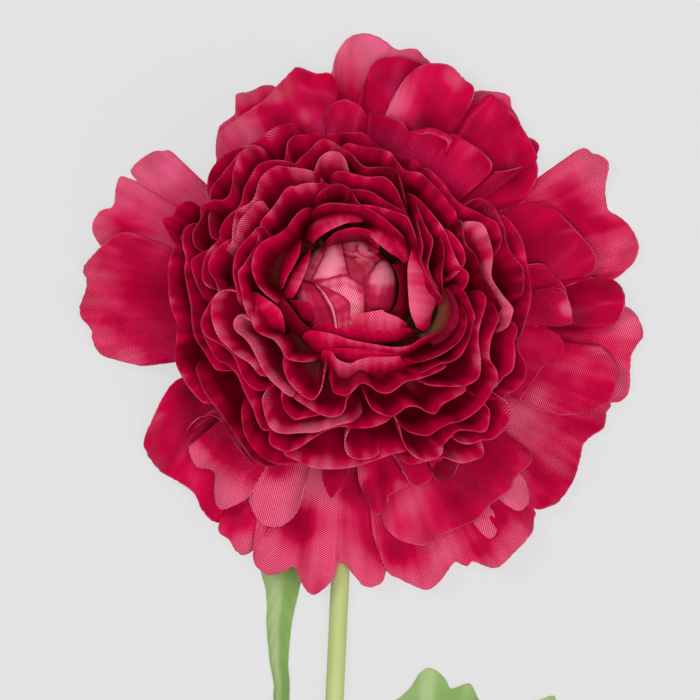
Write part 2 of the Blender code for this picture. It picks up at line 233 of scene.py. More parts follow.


# %% [markdown]
# ## The dye, and the light and shade painted into it
#
# The cloth isn't one colour. Its colour runs from a deep crimson, which is painted shade in the folds,
# through the plain dye to a pink that is washed-out dye with a painted sheen in it, and the ribs' tops take
# that pink first as painted highlights. The roots are olive, because the dye stops short of them, and the cut
# edge is pale in places, partly frayed and partly a painted highlight where it catches the light. Each is a
# mix with a factor of its own, laid one over the last. A number that is the same all over, such as the
# strength of the gloss, goes straight on to the shader's socket.

# %% The colour of the cloth
PATCH_SCALE = 75.0
PATCH_SHARE, PATCH_LEVEL = 1.6, -0.86       # the patches' strength, and what brings their mean near 0
# How far fade and painted light turn the cloth pale, and the ribs' tops more so, as painted highlights.
PALE_SHARE, RIB_HIGHLIGHT_SHARE, PALE_LEVEL = 1.3, 0.4, -0.26
LIT_SHARE, LIT_LEVEL = 1.1, 0.40            # the ribs' tops take more of the faded colour
FRAY_SCALE = 160.0
FRAY_SHARE, FRAY_LEVEL = 2.6, -0.95


def dye_and_painted_light(tree, place, ribs, deep, dye, faded_and_sheen):
    """From the deep painted shade through dye to the faded pink with its painted sheen, by the points' fade,
    which holds painted light and shade too, and soft patches.
    """
    patches = math_node(tree, "MULTIPLY_ADD", noise(tree, place, PATCH_SCALE), PATCH_SHARE, PATCH_LEVEL)
    # The points' fade holds washed-out dye together with painted light and shade.
    fade_and_light = math_node(tree, "ADD", attribute(tree, "fade_and_light"), patches)
    # Painted shade: low values take the deep colour of the folds.
    colour = mix_colour(tree, math_node(tree, "ADD", fade_and_light, 1.0), deep, dye)
    # Painted highlights on the ribs' tops.
    lit_ribs = math_node(tree, "MULTIPLY_ADD", ribs, LIT_SHARE, LIT_LEVEL)
    rib_highlight = math_node(tree, "MULTIPLY_ADD", ribs, RIB_HIGHLIGHT_SHARE, PALE_LEVEL)
    pale_and_lit = math_node(tree, "MULTIPLY_ADD", fade_and_light, PALE_SHARE, rib_highlight)
    pale = math_node(tree, "MULTIPLY", math_node(tree, "MAXIMUM", pale_and_lit, 0.0), lit_ribs)
    return mix_colour(tree, pale, colour, faded_and_sheen)


def fray_and_edge_light(tree, place, colour, edge):
    """Lays the pale cut edge on, in patches: partly fray, and partly a painted highlight where the rim
    catches the light.
    """
    patchy = math_node(tree, "MULTIPLY_ADD", noise(tree, place, FRAY_SCALE, 1.0), FRAY_SHARE, FRAY_LEVEL)
    fray = math_node(tree, "MULTIPLY", attribute(tree, "edge"), math_node(tree, "MAXIMUM", patchy, 0.0))
    return mix_colour(tree, fray, colour, edge)


# %% The cloth's material
BLOTCH_SCALE = 90.0
BLOTCH_SHARE, BLOTCH_LEVEL = 0.30, 0.87     # how much the blotches darken and lighten the cloth
ROUGH_SHARE = 0.16                          # how much they change its roughness
SPECULAR = 0.6


def shaded(tree, colour, ribs, blotches, rib):
    """Darkens the colour between the ribs, as painted shade in their grooves, and in the blotches."""
    shade = math_node(tree, "MULTIPLY_ADD", ribs, rib, 1.0 - rib)
    blotch_shade = math_node(tree, "MULTIPLY_ADD", blotches, BLOTCH_SHARE, BLOTCH_LEVEL)
    shade = math_node(tree, "MULTIPLY", shade, blotch_shade)
    grey = tree.nodes.new("ShaderNodeCombineColor")
    for channel in grey.inputs:
        link(tree, shade, channel)
    return mix_colour(tree, 1.0, colour, grey.outputs[0], "MULTIPLY")


def bumped(tree, height, distance, strength):
    """A bumped normal from a height."""
    bump = tree.nodes.new("ShaderNodeBump")
    bump.inputs["Distance"].default_value = distance
    bump.inputs["Strength"].default_value = strength
    link(tree, height, bump.inputs["Height"])
    return bump.outputs["Normal"]


def cloth_material(name, dye, faded_and_sheen, root, edge, deep=(0.14, 0.0003, 0.005),
                   roughness=0.38, rib=0.12, gloss=(1.0, 0.09, 0.40), relief=1.0):
    """A dyed twill. deep is the painted shade colour of the folds, the faded colour is washed-out pink with a
    painted sheen, rib is how dark the painted shade between ribs is, and gloss tints its reflections.
    """
    material = bpy.data.materials.new(name)
    material.use_nodes = True
    tree = material.node_tree
    shader = tree.nodes["Principled BSDF"]
    uv = tree.nodes.new("ShaderNodeUVMap")
    uv.uv_map = "flat"
    place = tree.nodes.new("ShaderNodeTexCoord").outputs["Object"]
    ribs = twill(tree, uv.outputs["UV"], attribute(tree, "weave"))
    blotches = noise(tree, place, BLOTCH_SCALE, 3.0)
    colour = dye_and_painted_light(tree, place, ribs, deep, dye, faded_and_sheen)
    colour = mix_colour(tree, attribute(tree, "root"), colour, root)
    colour = fray_and_edge_light(tree, place, colour, edge)
    colour = shaded(tree, colour, ribs, blotches, rib)
    link(tree, colour, shader.inputs["Base Color"])
    rough = math_node(tree, "MULTIPLY_ADD", blotches, ROUGH_SHARE, roughness - ROUGH_SHARE / 2)
    link(tree, rough, shader.inputs["Roughness"])
    link(tree, bumped(tree, ribs, RIB_HEIGHT, relief), shader.inputs["Normal"])
    shader.inputs["Specular IOR Level"].default_value = SPECULAR
    shader.inputs["Specular Tint"].default_value = (*gloss, 1.0)
    print(name, "nodes:", len(tree.nodes))
    return material


# %% The petals' colours
CRIMSON = (0.54, 0.0006, 0.044)
# The pale pink is washed-out dye with a painted sheen in it, on the bud's cloth too.
FADED_AND_SHEEN = (0.74, 0.135, 0.235)
OLIVE = (0.20, 0.15, 0.060)
# The pale cut edge: fray, and a painted highlight where the rim catches the light.
EDGE = (0.66, 0.075, 0.16)
petal_cloth = cloth_material("petal_cloth", CRIMSON, FADED_AND_SHEEN, OLIVE, EDGE)
back_petal_cloth = cloth_material("back_petal_cloth", CRIMSON, FADED_AND_SHEEN, OLIVE, EDGE)
bud_cloth = cloth_material("bud_cloth", (0.50, 0.012, 0.060), (0.86, 0.25, 0.33), OLIVE, EDGE)


# %% [markdown]
# ## Sheets of cloth
#
# A petal is one sheet, so it starts as a flat grid. Formulas then say where each row and
# column of the grid lies in space. Sheets that belong to one piece go into one mesh, and
# Solidify gives them the cloth's thickness at the very end, half to each side.

# %% From grids to cloth
CLOTH = 0.22 * MM
print("cloth, mm thick:", round(CLOTH / MM, 2))


def sheet(places, flat, fade_and_light=0.0, root=0.0, edge=0.0, weave=1.0):
    """One sheet's numbers: places and flat pattern on the grid, and its four tints."""
    shape = places.shape[:2]
    return {"places": places, "flat": flat, "fade_and_light": np.broadcast_to(fade_and_light, shape),
            "root": np.broadcast_to(root, shape), "edge": np.broadcast_to(edge, shape),
            "weave": np.broadcast_to(weave, shape)}


def joined(sheets, key):
    """One number, or one place, for every point of the sheets in turn."""
    return np.concatenate([one[key].reshape(-1, *one[key].shape[2:]) for one in sheets]).astype(np.float32)


def cloth_piece(name, sheets, material, replaced, thickness=CLOTH):
    bm = bmesh.new()
    for one in sheets:
        rows, cols = one["places"].shape[:2]
        made = bmesh.ops.create_grid(bm, x_segments=cols - 1, y_segments=rows - 1, size=0.5)
        for vert, place in zip(made["verts"], one["places"].reshape(-1, 3)):
            vert.co = place
    mesh = bpy.data.meshes.new(name)
    bm.to_mesh(mesh)
    bm.free()
    corners = np.empty(len(mesh.loops), dtype=np.int32)
    mesh.loops.foreach_get("vertex_index", corners)
    mesh.uv_layers.new(name="flat").data.foreach_set("uv", joined(sheets, "flat")[corners].ravel())
    for tint in ("fade_and_light", "root", "edge", "weave"):
        mesh.attributes.new(tint, "FLOAT", "POINT").data.foreach_set("value", joined(sheets, tint))
    mesh.shade_smooth()
    mesh.materials.append(material)
    piece = bpy.data.objects.new(name, mesh)
    bpy.context.scene.collection.objects.link(piece)
    wall = piece.modifiers.new("thickness", "SOLIDIFY")
    wall.thickness = thickness
    wall.offset = 0.0
    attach(piece, "root")
    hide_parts(*replaced)
    return piece


# %% Shapes that every sheet uses
def smoothstep(x):
    x = np.clip(x, 0.0, 1.0)
    return x * x * (3.0 - 2.0 * x)


def streaks(along, phase, wavelengths):
    """Soft light and dark bands of up to 1 either way. along is in metres."""
    total = 0.0
    for step, wavelength in enumerate(wavelengths):
        total = total + np.sin(2 * math.pi * along / (wavelength * MM) + phase * (1.3 + 1.7 * step))
    return total / len(wavelengths)


def rows_to_rim(count, fray):
    """Steps from root to rim, closer towards the rim, the last one as narrow as the fray."""
    steps = np.linspace(0.0, 1.0, count - 1) ** 0.75
    return np.append(steps * (1.0 - fray), 1.0)


def slanted(across, deep, slant):
    """The flat pattern, turned so that the ribs run at a slant."""
    return np.stack([across * math.cos(slant) + deep * math.sin(slant),
                     deep * math.cos(slant) - across * math.sin(slant)], axis=-1)


# %% [markdown]
# ## The ball of frills
#
# Nine cups of petals sit one in another. On the real flower each petal was pressed with
# its own waves, so no two rims are alike, and the rims are what the eye follows. Each
# petal here has a rim of its own: a short list of points in millimetres from the flower's
# axis, seen from above. Its cup number says how high the rim stands and how steeply the
# petal rises to it. A fan of curves then runs from the hub out to the rim.

# %% Smooth outlines
def smooth_line(points, count):
    """A Catmull-Rom line through the points, resampled at even steps."""
    points = np.array(points, dtype=float)
    ends = np.vstack([2 * points[0] - points[1], points, 2 * points[-1] - points[-2]])
    steps = np.linspace(0.0, 1.0, 8, endpoint=False)[:, None]
    pieces = []
    for a, b, c, d in zip(ends, ends[1:], ends[2:], ends[3:]):
        pieces.append(0.5 * (2 * b + (c - a) * steps + (2 * a - 5 * b + 4 * c - d) * steps ** 2
                             + (3 * b - a - 3 * c + d) * steps ** 3))
    line = np.vstack([*pieces, points[-1:]])
    lengths = np.append(0.0, np.cumsum(np.linalg.norm(np.diff(line, axis=0), axis=1)))
    where = np.linspace(0.0, lengths[-1], count)
    return np.stack([np.interp(where, lengths, line[:, i]) for i in range(line.shape[1])], axis=1)


def run_length(line):
    return np.sum(np.linalg.norm(np.diff(np.array(line, dtype=float), axis=0), axis=1))


def bezier(t, a, b, c, d):
    return (1 - t) ** 3 * a + 3 * t * (1 - t) ** 2 * b + 3 * t * t * (1 - t) * c + t ** 3 * d


# %% Cups
LAYERS = 9
HUB = 4.0 * MM
HUB_LOW = 0.6 * MM
HUB_PITCH = 0.9 * MM
RIM_INNER, RIM_OUTER = 12.0 * MM, 35.5 * MM
RIM_HIGH, RIM_LOW = 28.8 * MM, 8.3 * MM
RIM_SWING = 0.45 * MM       # how far a rim dips and rises on its way round
LIP = 3.2 * MM              # how far in from its rim a petal starts to curl
LIP_OUT = 0.5 * MM, 1.3 * MM
LIP_DROP = 0.2 * MM, 0.6 * MM


def outness(layer):
    """0 for the innermost cup and 1 for the outermost."""
    return max((layer - 1.0) / (LAYERS - 1.0), 0.0)


def between(inner, outer, share):
    return inner + (outer - inner) * share


def rim_radius(layer):
    return between(RIM_INNER, RIM_OUTER, outness(layer) ** 0.97)


def rim_height(layer):
    return between(RIM_HIGH, RIM_LOW, outness(layer) ** 2.2)


print("rims out, mm:", [round(rim_radius(layer) / MM, 1) for layer in range(1, LAYERS + 1)])
print("rims up, mm:", [round(rim_height(layer) / MM, 1) for layer in range(1, LAYERS + 1)])

# %% Shoulders
SHOULDER_STEPS = 1.2, 2.2   # how far past a rim's end its rounding goes, in millimetres
TUCK = 0.07                 # and how far in, as a share of the way to the axis


def shoulders(points):
    """Rounds both ends of a rim inwards, where the petal's sides tuck in behind others."""
    points = [np.array(point, dtype=float) for point in points]
    for end, before in ((0, 1), (-1, -2)):
        onward = points[end] - points[before]
        onward = onward / np.linalg.norm(onward)
        inward = -points[end] / np.linalg.norm(points[end])
        tuck = TUCK * np.linalg.norm(points[end])
        first = points[end] + SHOULDER_STEPS[0] * onward + 0.35 * tuck * inward
        second = points[end] + SHOULDER_STEPS[1] * onward + tuck * inward
        if end == 0:
            points = [second, first, *points]
        else:
            points = [*points, first, second]
    return np.array(points)


# %% A frill petal's rim
RIM_SPACING = 0.42          # between the grid's columns, in millimetres
END_LENGTH = 7.0            # how much of each end turns down to tuck in, in millimetres
END_DROP = 5.0 * MM
RIM_SLOPE = 0.30            # a rim that reaches further out hangs lower
SWING_LONG, SWING_SHORT = 1.7, 0.95         # the two swings' lengths, in millimetres a radian
SWING_SHARE = 0.7           # the short one's strength


def rim_curve(layer, rim, random):
    """The rim in the head's own frame, its height, each column's distance along it, its swing."""
    line = shoulders(rim)
    cols = int(np.clip(run_length(line) / RIM_SPACING, 26, 110))
    line = smooth_line(line, cols) * MM
    length = run_length(line / MM)
    side = np.linspace(-1.0, 1.0, cols)
    ends = np.clip((np.abs(side) - 1.0 + END_LENGTH / length) / (END_LENGTH / length), 0.0, 1.0)
    swing = random.uniform(0.0, 6.28)
    around = side * length / 2
    up = rim_height(layer) - END_DROP * ends ** 2
    short_swing = SWING_SHARE * np.sin(around / SWING_SHORT + 2.3 * swing)
    up = up + RIM_SWING * (np.sin(around / SWING_LONG + swing) + short_swing)
    x = line[:, 0]
    y = (line[:, 1] - up * math.sin(HEAD_LEAN)) / math.cos(HEAD_LEAN)
    up = up - RIM_SLOPE * (np.hypot(x, y) - rim_radius(layer)) * (1.0 - ends)
    y = (line[:, 1] - up * math.sin(HEAD_LEAN)) / math.cos(HEAD_LEAN)
    return x, y, up, around * MM, swing


# %% One frill petal
FRILL_BANDS = 0.24          # how strong the pressed-in bands of a frill petal are
FRILL_LEVEL = -0.24
FRILL_ROWS, FRILL_FRAY = 28, 0.007
FRILL_EDGE = 0.4
RISE_INNER, RISE_OUTER = 82.0, 52.0         # how steeply a petal meets its rim, in degrees
RIM_HOLD = 0.40             # how far in from the rim it keeps that rise, as a share of its run
BELLY_SHARE, BELLY_OUT = 0.62, 2.2 * MM     # how far out its lower half swells
ROOT_WIDTH = 0.25           # its width at the hub, as a share of its rim
ROOT_GATHER = 0.2           # how far its root is gathered in to its middle
RIM_AIM = 0.6               # how squarely it faces its rim
SLANTS = 0.4, 1.2           # between which the ribs' slant lies, in radians
GREEN = 0.7
GREEN_INNER, GREEN_OUTER = 0.85, 0.50       # how far out from the hub the olive root reaches
# Painted highlight: the rim is paler over this width.
RIM_LIGHT_WIDTH = 3.0 * MM
SHADE_REACH = 8.0 * MM                        # how far in from the rim the painted shade is at its deepest
PAINTED_SHADE_SHARE = 0.75


def frill_petal(layer, rim, random, fade_and_light, rim_light, lift=0.2):
    """A petal that opens out to its rim, with a painted highlight on the rim whose strength comes after its
    fade. lift makes it shallower.
    """
    x, y, up, around, swing = rim_curve(layer, rim, random)
    bearing = np.unwrap(np.arctan2(y, x))
    lip_out = between(*LIP_OUT, outness(layer))
    lip_drop = between(*LIP_DROP, outness(layer))
    radius = np.hypot(x, y) - lip_out
    x, y = radius * np.cos(bearing), radius * np.sin(bearing)
    root = np.linspace(bearing[3], bearing[-4], len(bearing))
    root = root * (1.0 - ROOT_GATHER) + bearing.mean() * ROOT_GATHER
    t = rows_to_rim(FRILL_ROWS, FRILL_FRAY)[:, None]
    rise = math.radians(between(RISE_INNER, RISE_OUTER, outness(layer) ** 1.2))
    belly = HUB + BELLY_SHARE * (radius - HUB) + BELLY_OUT * (1.0 - outness(layer))
    hub_up = HUB_LOW + HUB_PITCH * (LAYERS - layer)
    reach = RIM_HOLD * np.hypot(radius - HUB, up - hub_up)
    shoulder = reach * math.cos(rise)
    soft = bearing * RIM_AIM + root * (1.0 - RIM_AIM)
    length = np.hypot(radius, up)
    from_rim = (1.0 - t) * length
    lip = np.clip(1.0 - from_rim / LIP, 0.0, 1.0) ** 2
    px = bezier(t, HUB * np.cos(root), belly * np.cos(root), x - shoulder * np.cos(soft), x)
    py = bezier(t, HUB * np.sin(root), belly * np.sin(root), y - shoulder * np.sin(soft), y)
    pz = bezier(t, hub_up, hub_up + lift * (up - hub_up), up - reach * math.sin(rise), up)
    places = from_head(px + lip_out * lip * np.cos(bearing), py + lip_out * lip * np.sin(bearing),
                       pz - lip_drop * lip)
    slant = random.uniform(*SLANTS)
    width = ROOT_WIDTH + (1.0 - ROOT_WIDTH) * t
    across = np.linspace(-0.5, 0.5, len(around)) * (around[-1] - around[0]) * width
    flat = slanted(across, length.mean() * t, slant)
    green = GREEN * np.clip(1.0 - t / between(GREEN_INNER, GREEN_OUTER, outness(layer)), 0.0, 1.0)
    # Painted highlight on the rim, stronger in some stretches along it than in others.
    lit_rim = np.clip(0.5 + streaks(around, swing + 2.0, (19.0, 8.3, 3.7)), 0.0, 1.5)
    fades_and_light = fade_and_light + FRILL_LEVEL + FRILL_BANDS * streaks(around, swing, (14.0, 6.3, 2.9)) * (0.3 + 0.7 * t)
    fades_and_light = fades_and_light + (0.30 + 0.7 * rim_light) * lit_rim * np.clip(1.0 - from_rim / RIM_LIGHT_WIDTH, 0.0, 1.0)
    # Painted shade: darker further in from the rim, where the petal goes down under the others.
    fades_and_light = fades_and_light - PAINTED_SHADE_SHARE * np.clip(from_rim / SHADE_REACH, 0.0, 1.0)
    return sheet(places, flat, fade_and_light=fades_and_light, root=green, edge=np.where(t > 0.999, FRILL_EDGE, 0.0))


# %% [markdown]
# ## The rims, one by one
#
# Each side of the ball has its own list, taken in turn round the flower. Rims could be drawn as curves in the
# scene, but a few points each in the script are easier to compare and to change. A row is a cup, a rim, how
# pale the petal is from faded dye and painted light, how strong the painted highlight on its rim is, and its
# lift where that isn't the usual. A cup with a fraction lies between two: its petal takes the height and
# steepness of the fraction and is joined to the nearer cup.

# %% Rims at the upper left
UPPER_LEFT = (
    (9.2, ((-19.6, 33), (-17.6, 33.9), (-16, 35.3), (-13.5, 36.7), (-10.7, 37.5)), -0.1, 0),
    (9.0, ((-27.1, 22.7), (-27.5, 25), (-26.8, 27.8), (-25.2, 30), (-23.2, 31.6), (-20.4, 32.8),
           (-18, 33)), 0, 0),
    (8.6, ((-26.9, 23.5), (-26.2, 25.2), (-24.7, 26.8), (-23.7, 28.2), (-22.4, 29.7), (-21, 31.5)),
     -0.15, 0.3),
    (8.2, ((-28.7, 20.4), (-28, 21.3), (-26.2, 21.9), (-24.2, 22), (-23.1, 22.9), (-22.4, 25.2),
           (-22.3, 27.3), (-21.4, 30.3), (-20.1, 32)), 0, 0),
    (8.4, ((-12, 29.8), (-11.6, 32.1), (-11.4, 33.4), (-10.7, 34.4), (-9.7, 34.9), (-7.1, 35.1),
           (-5.1, 35.4)), 0, 0.1),
    (7.4, ((-24.8, 14.8), (-24.7, 16.3), (-23.9, 17.8), (-22.7, 19.1), (-21.1, 20.4), (-20.3, 22.4),
           (-20, 24.1), (-19.3, 25.5), (-17.6, 28.5), (-15.8, 29.5), (-13.7, 29.8), (-11.7, 29.6),
           (-9.7, 28.9)), 0, 0),
    (7.6, ((-10.5, 28.5), (-8.4, 30.6), (-6.9, 31.9), (-5.6, 33.4), (-4.3, 34), (-2.8, 33.7), (-1, 32.5)),
     0.15, 0.3),
    (6.8, ((-23.2, 12.5), (-22.4, 13.5), (-22.2, 16.3), (-21.8, 18.6), (-21.1, 20), (-18.9, 21.2),
           (-17.8, 22.7), (-17.3, 24.5), (-16.8, 26), (-15.5, 27.5), (-13.5, 28.6), (-12, 28.4),
           (-7.6, 27.9), (-5.6, 27)), 0.5, 0.1),
    (6.4, ((-21.6, 14), (-21.1, 17), (-20.1, 18.6), (-18.6, 20.1), (-17.8, 21.3), (-16.3, 21.5),
           (-15.9, 20.9)), 0.5, 0.3),
    (5.8, ((-16.5, 17.6), (-14.5, 19.9), (-13.2, 21.7), (-12, 23.6), (-10.7, 24.5), (-9.9, 24.4),
           (-8, 25), (-6, 25.1), (-3.5, 25)), 0.3, 0.3),
    (5.0, ((-5.1, 23), (-3.3, 24.4), (-1.5, 24.9), (0, 24.6), (1.3, 23.5), (2.5, 21.4), (3.1, 20.9)),
     -0.35, 0),
    (4.2, ((-8.1, 19.9), (-9.7, 18.6), (-11.4, 16.3), (-13.2, 14.9), (-15.3, 14), (-17.1, 12.5),
           (-18.1, 10.4), (-18.3, 7.9), (-17.3, 5.1), (-15.3, 2.8)), 0.15, 0, 0.6),
)

# %% Rims at the left
LEFT = (
    (9.0, ((-28.7, 20.5), (-30.8, 21.9), (-33.4, 21.2), (-34.4, 19), (-36.2, 18.6), (-36.4, 17.6),
           (-34.5, 14)), 0, 0),
    (9.2, ((-31.5, 16.5), (-32.7, 14.7), (-34.2, 12), (-35, 9.7), (-35.2, 6.4), (-34.9, 2.3), (-34, -1),
           (-32.9, -3.1)), -0.2, 0.5),
    (9.2, ((-33, -2), (-33.4, -4.4), (-33.5, -6.2), (-33.8, -8.8), (-33.3, -11.3), (-31.6, -14.4),
           (-30.1, -16.4), (-28.3, -18.2)), -0.2, 0.5),
    (8.6, ((-31, 17), (-32.1, 16), (-32.3, 13), (-31.6, 10.4), (-31.9, 7.9), (-31.4, 4.8), (-30.6, 1),
           (-30.4, -2), (-29.8, -5.4), (-28, -8), (-26.2, -11.1), (-25.1, -11.9), (-23, -12)), -0.2, 0.3),
    (8.2, ((-28, 19.8), (-28.9, 17.8), (-30.2, 15.6), (-30.1, 13.5), (-29.2, 12.2), (-27.8, 11.6)),
     -0.6, 0.1),
    (7.8, ((-27, 19), (-27, 16.8), (-26.8, 15.2), (-26.2, 14.3), (-25.2, 14)), -0.4, 0.1),
    (8.1, ((-27.8, 11.8), (-29.6, 10.7), (-30.5, 9.7), (-30.2, 7.4), (-29.2, 4.8), (-28, 2.5)), -0.1, 0),
    (7.6, ((-24.7, 15), (-25.2, 13.8), (-26.8, 12.2), (-27.8, 10.4), (-28.3, 8.2), (-28.2, 6.1),
           (-27.3, 4.8), (-25.6, 4.1)), 0.15, 0.2),
    (7.0, ((-23.4, 13.8), (-24.7, 12.7), (-26.2, 11.2), (-27, 9.2), (-26.8, 7.4), (-25.7, 5.9),
           (-25, 3.8)), 0.2, 0),
    (5.6, ((-15.3, 15), (-16, 16.3), (-17.3, 16.2), (-18.6, 14.8), (-20.1, 13.3), (-21.4, 11.2),
           (-22, 9.2), (-22, 6.6), (-21.4, 4.1), (-21.1, 2)), 0, 0.2),
    (5.0, ((-17.1, 14.9), (-17.4, 13.3), (-18.6, 11), (-20.1, 8.7), (-21, 7.6), (-20.9, 5.9),
           (-20.4, 3.6), (-19.9, 1), (-19, -1.2)), -0.1, 0.5),
)

# %% Rims at the lower left
LOWER_LEFT = (
    (6.0, ((-21.1, 3.5), (-22.7, 3.9), (-24.7, 3.6), (-26, 2.2), (-26.4, 0.2), (-26.1, -2.4), (-25, -5.2),
           (-23.2, -7.2), (-21.1, -9), (-19.6, -9.9), (-18.3, -11), (-17.1, -12.6), (-16.3, -13)),
     0.45, 0.5, 0.4),
    (6.6, ((-23.7, 4), (-25.7, 2.7), (-27, 0.9), (-28, -1.1), (-28.4, -2.9), (-28, -4.2), (-26.8, -5.6),
           (-24.7, -6.7), (-22.7, -8.2), (-21.6, -9.8), (-20.9, -11.6), (-20.1, -13.3), (-18.9, -14.9),
           (-17.3, -15.9), (-16, -15.8)), 0.1, 0),
    (7.4, ((-28.5, -2), (-28.3, -3.9), (-27, -7), (-25.2, -9.8), (-23.7, -10.5), (-22.2, -11.8),
           (-21.1, -13.1), (-20.1, -15.6), (-19.1, -17.7), (-18.1, -19.5), (-17.3, -21.8), (-16.3, -23.6),
           (-15, -23.7)), 0, 0.1),
    (8.8, ((-29.5, -12), (-28, -16), (-25, -20), (-22.5, -23.5), (-20.5, -26.5), (-18.2, -29.5),
           (-15, -31)), -0.6, 0, 0.5),
    (5.2, ((-19.1, -1.9), (-20.4, -1), (-21.4, -1.5), (-22, -2.8), (-21.4, -4.2), (-19.9, -5.4),
           (-18.6, -7), (-17.3, -9.5), (-16.3, -11.6), (-14.8, -13.6), (-13.2, -15.1), (-11.2, -16.8)),
     0.7, 0.1),
    (4.4, ((-18.6, -0.9), (-17.8, -3.7), (-16.3, -4.9), (-14, -5.9), (-12.5, -7.7), (-11.7, -9.3),
           (-10.2, -10), (-8.1, -10.3)), 0.2, 0.1, 0.6),
    (5.4, ((-12.2, -9.8), (-12, -11.8), (-10.9, -14.4), (-8.9, -16.4), (-7.6, -17.4), (-6.1, -17.7),
           (-4.8, -15.9), (-4.3, -13.9), (-4.2, -12.6)), 0.3, 0, 0.7),
    (6.0, ((-10.2, -17.2), (-7.6, -19), (-5.1, -20.5), (-2.8, -21.1), (-1, -20.7), (0, -19.5),
           (0.3, -17.7), (1, -16.9)), 0.35, 0, 0.4),
    (6.4, ((-12.5, -17.2), (-12, -19.5), (-10.7, -21), (-9.7, -21.6), (-7.1, -21.1), (-5.1, -20.7)),
     0, 0.3, 0.4),
    (7.2, ((-15.8, -16.4), (-16.3, -17.7), (-16, -20.2), (-15, -22.8), (-13.5, -24.1), (-11.4, -24.4),
           (-8.4, -24.2), (-5.8, -24.1), (-3.3, -23.3), (-0.7, -22.5), (1.5, -22)), 0.6, 0.4, 0.5),
    (7.8, ((-15, -25.3), (-14.8, -26.4), (-13.5, -27.4), (-11.4, -27.9), (-8.9, -27.1), (-6.3, -25.3),
           (-3.3, -23.6), (-0.7, -23), (1, -23.2), (4.7, -23.3), (7.2, -22.5), (9, -21.5)),
     0.05, 0.2, 0.4),
    (8.6, ((-20.5, -20), (-20, -24), (-18.5, -27), (-16.5, -29), (-14, -30.3), (-11, -30.5), (-8, -30)),
     -0.25, 0.1),
)

# %% Rims at the bottom
BOTTOM = (
    (8.4, ((12, -27.9), (9.2, -28.5), (5.9, -29.7), (2.1, -30.9), (-1.7, -31.4), (-6, -31.2),
           (-8.3, -30.4), (-10.3, -29.4), (-11.6, -28.9)), 0.25, 0.1, 0.7),
    (7.8, ((10, -21.5), (10.8, -23), (11.3, -25.3), (12.3, -27.4), (13.8, -28.9), (15.9, -29.8),
           (17.4, -29.4), (18.7, -28.9)), 0.5, 0.2, 0.6),
    (5.0, ((-2.5, -15.4), (-2, -16.4), (0.1, -16.9), (1.6, -15.9), (3.1, -14.5), (4.7, -14.8),
           (6.7, -16.2), (8.7, -16.4), (10.3, -15.4), (12.1, -14.1), (14.3, -13.7), (16.9, -12.8),
           (19.4, -11.6)), 0.05, 0.1, 0.5),
    (6.0, ((4.1, -17.2), (5.4, -19.5), (7.2, -20.5), (9.2, -21), (10.8, -20.2), (12.3, -19.1),
           (14.3, -19.1), (16.4, -20.2), (17.9, -20.4), (19.2, -18.7), (21.5, -17.4), (23.5, -16.2)),
     0.2, 0, 0.6),
)

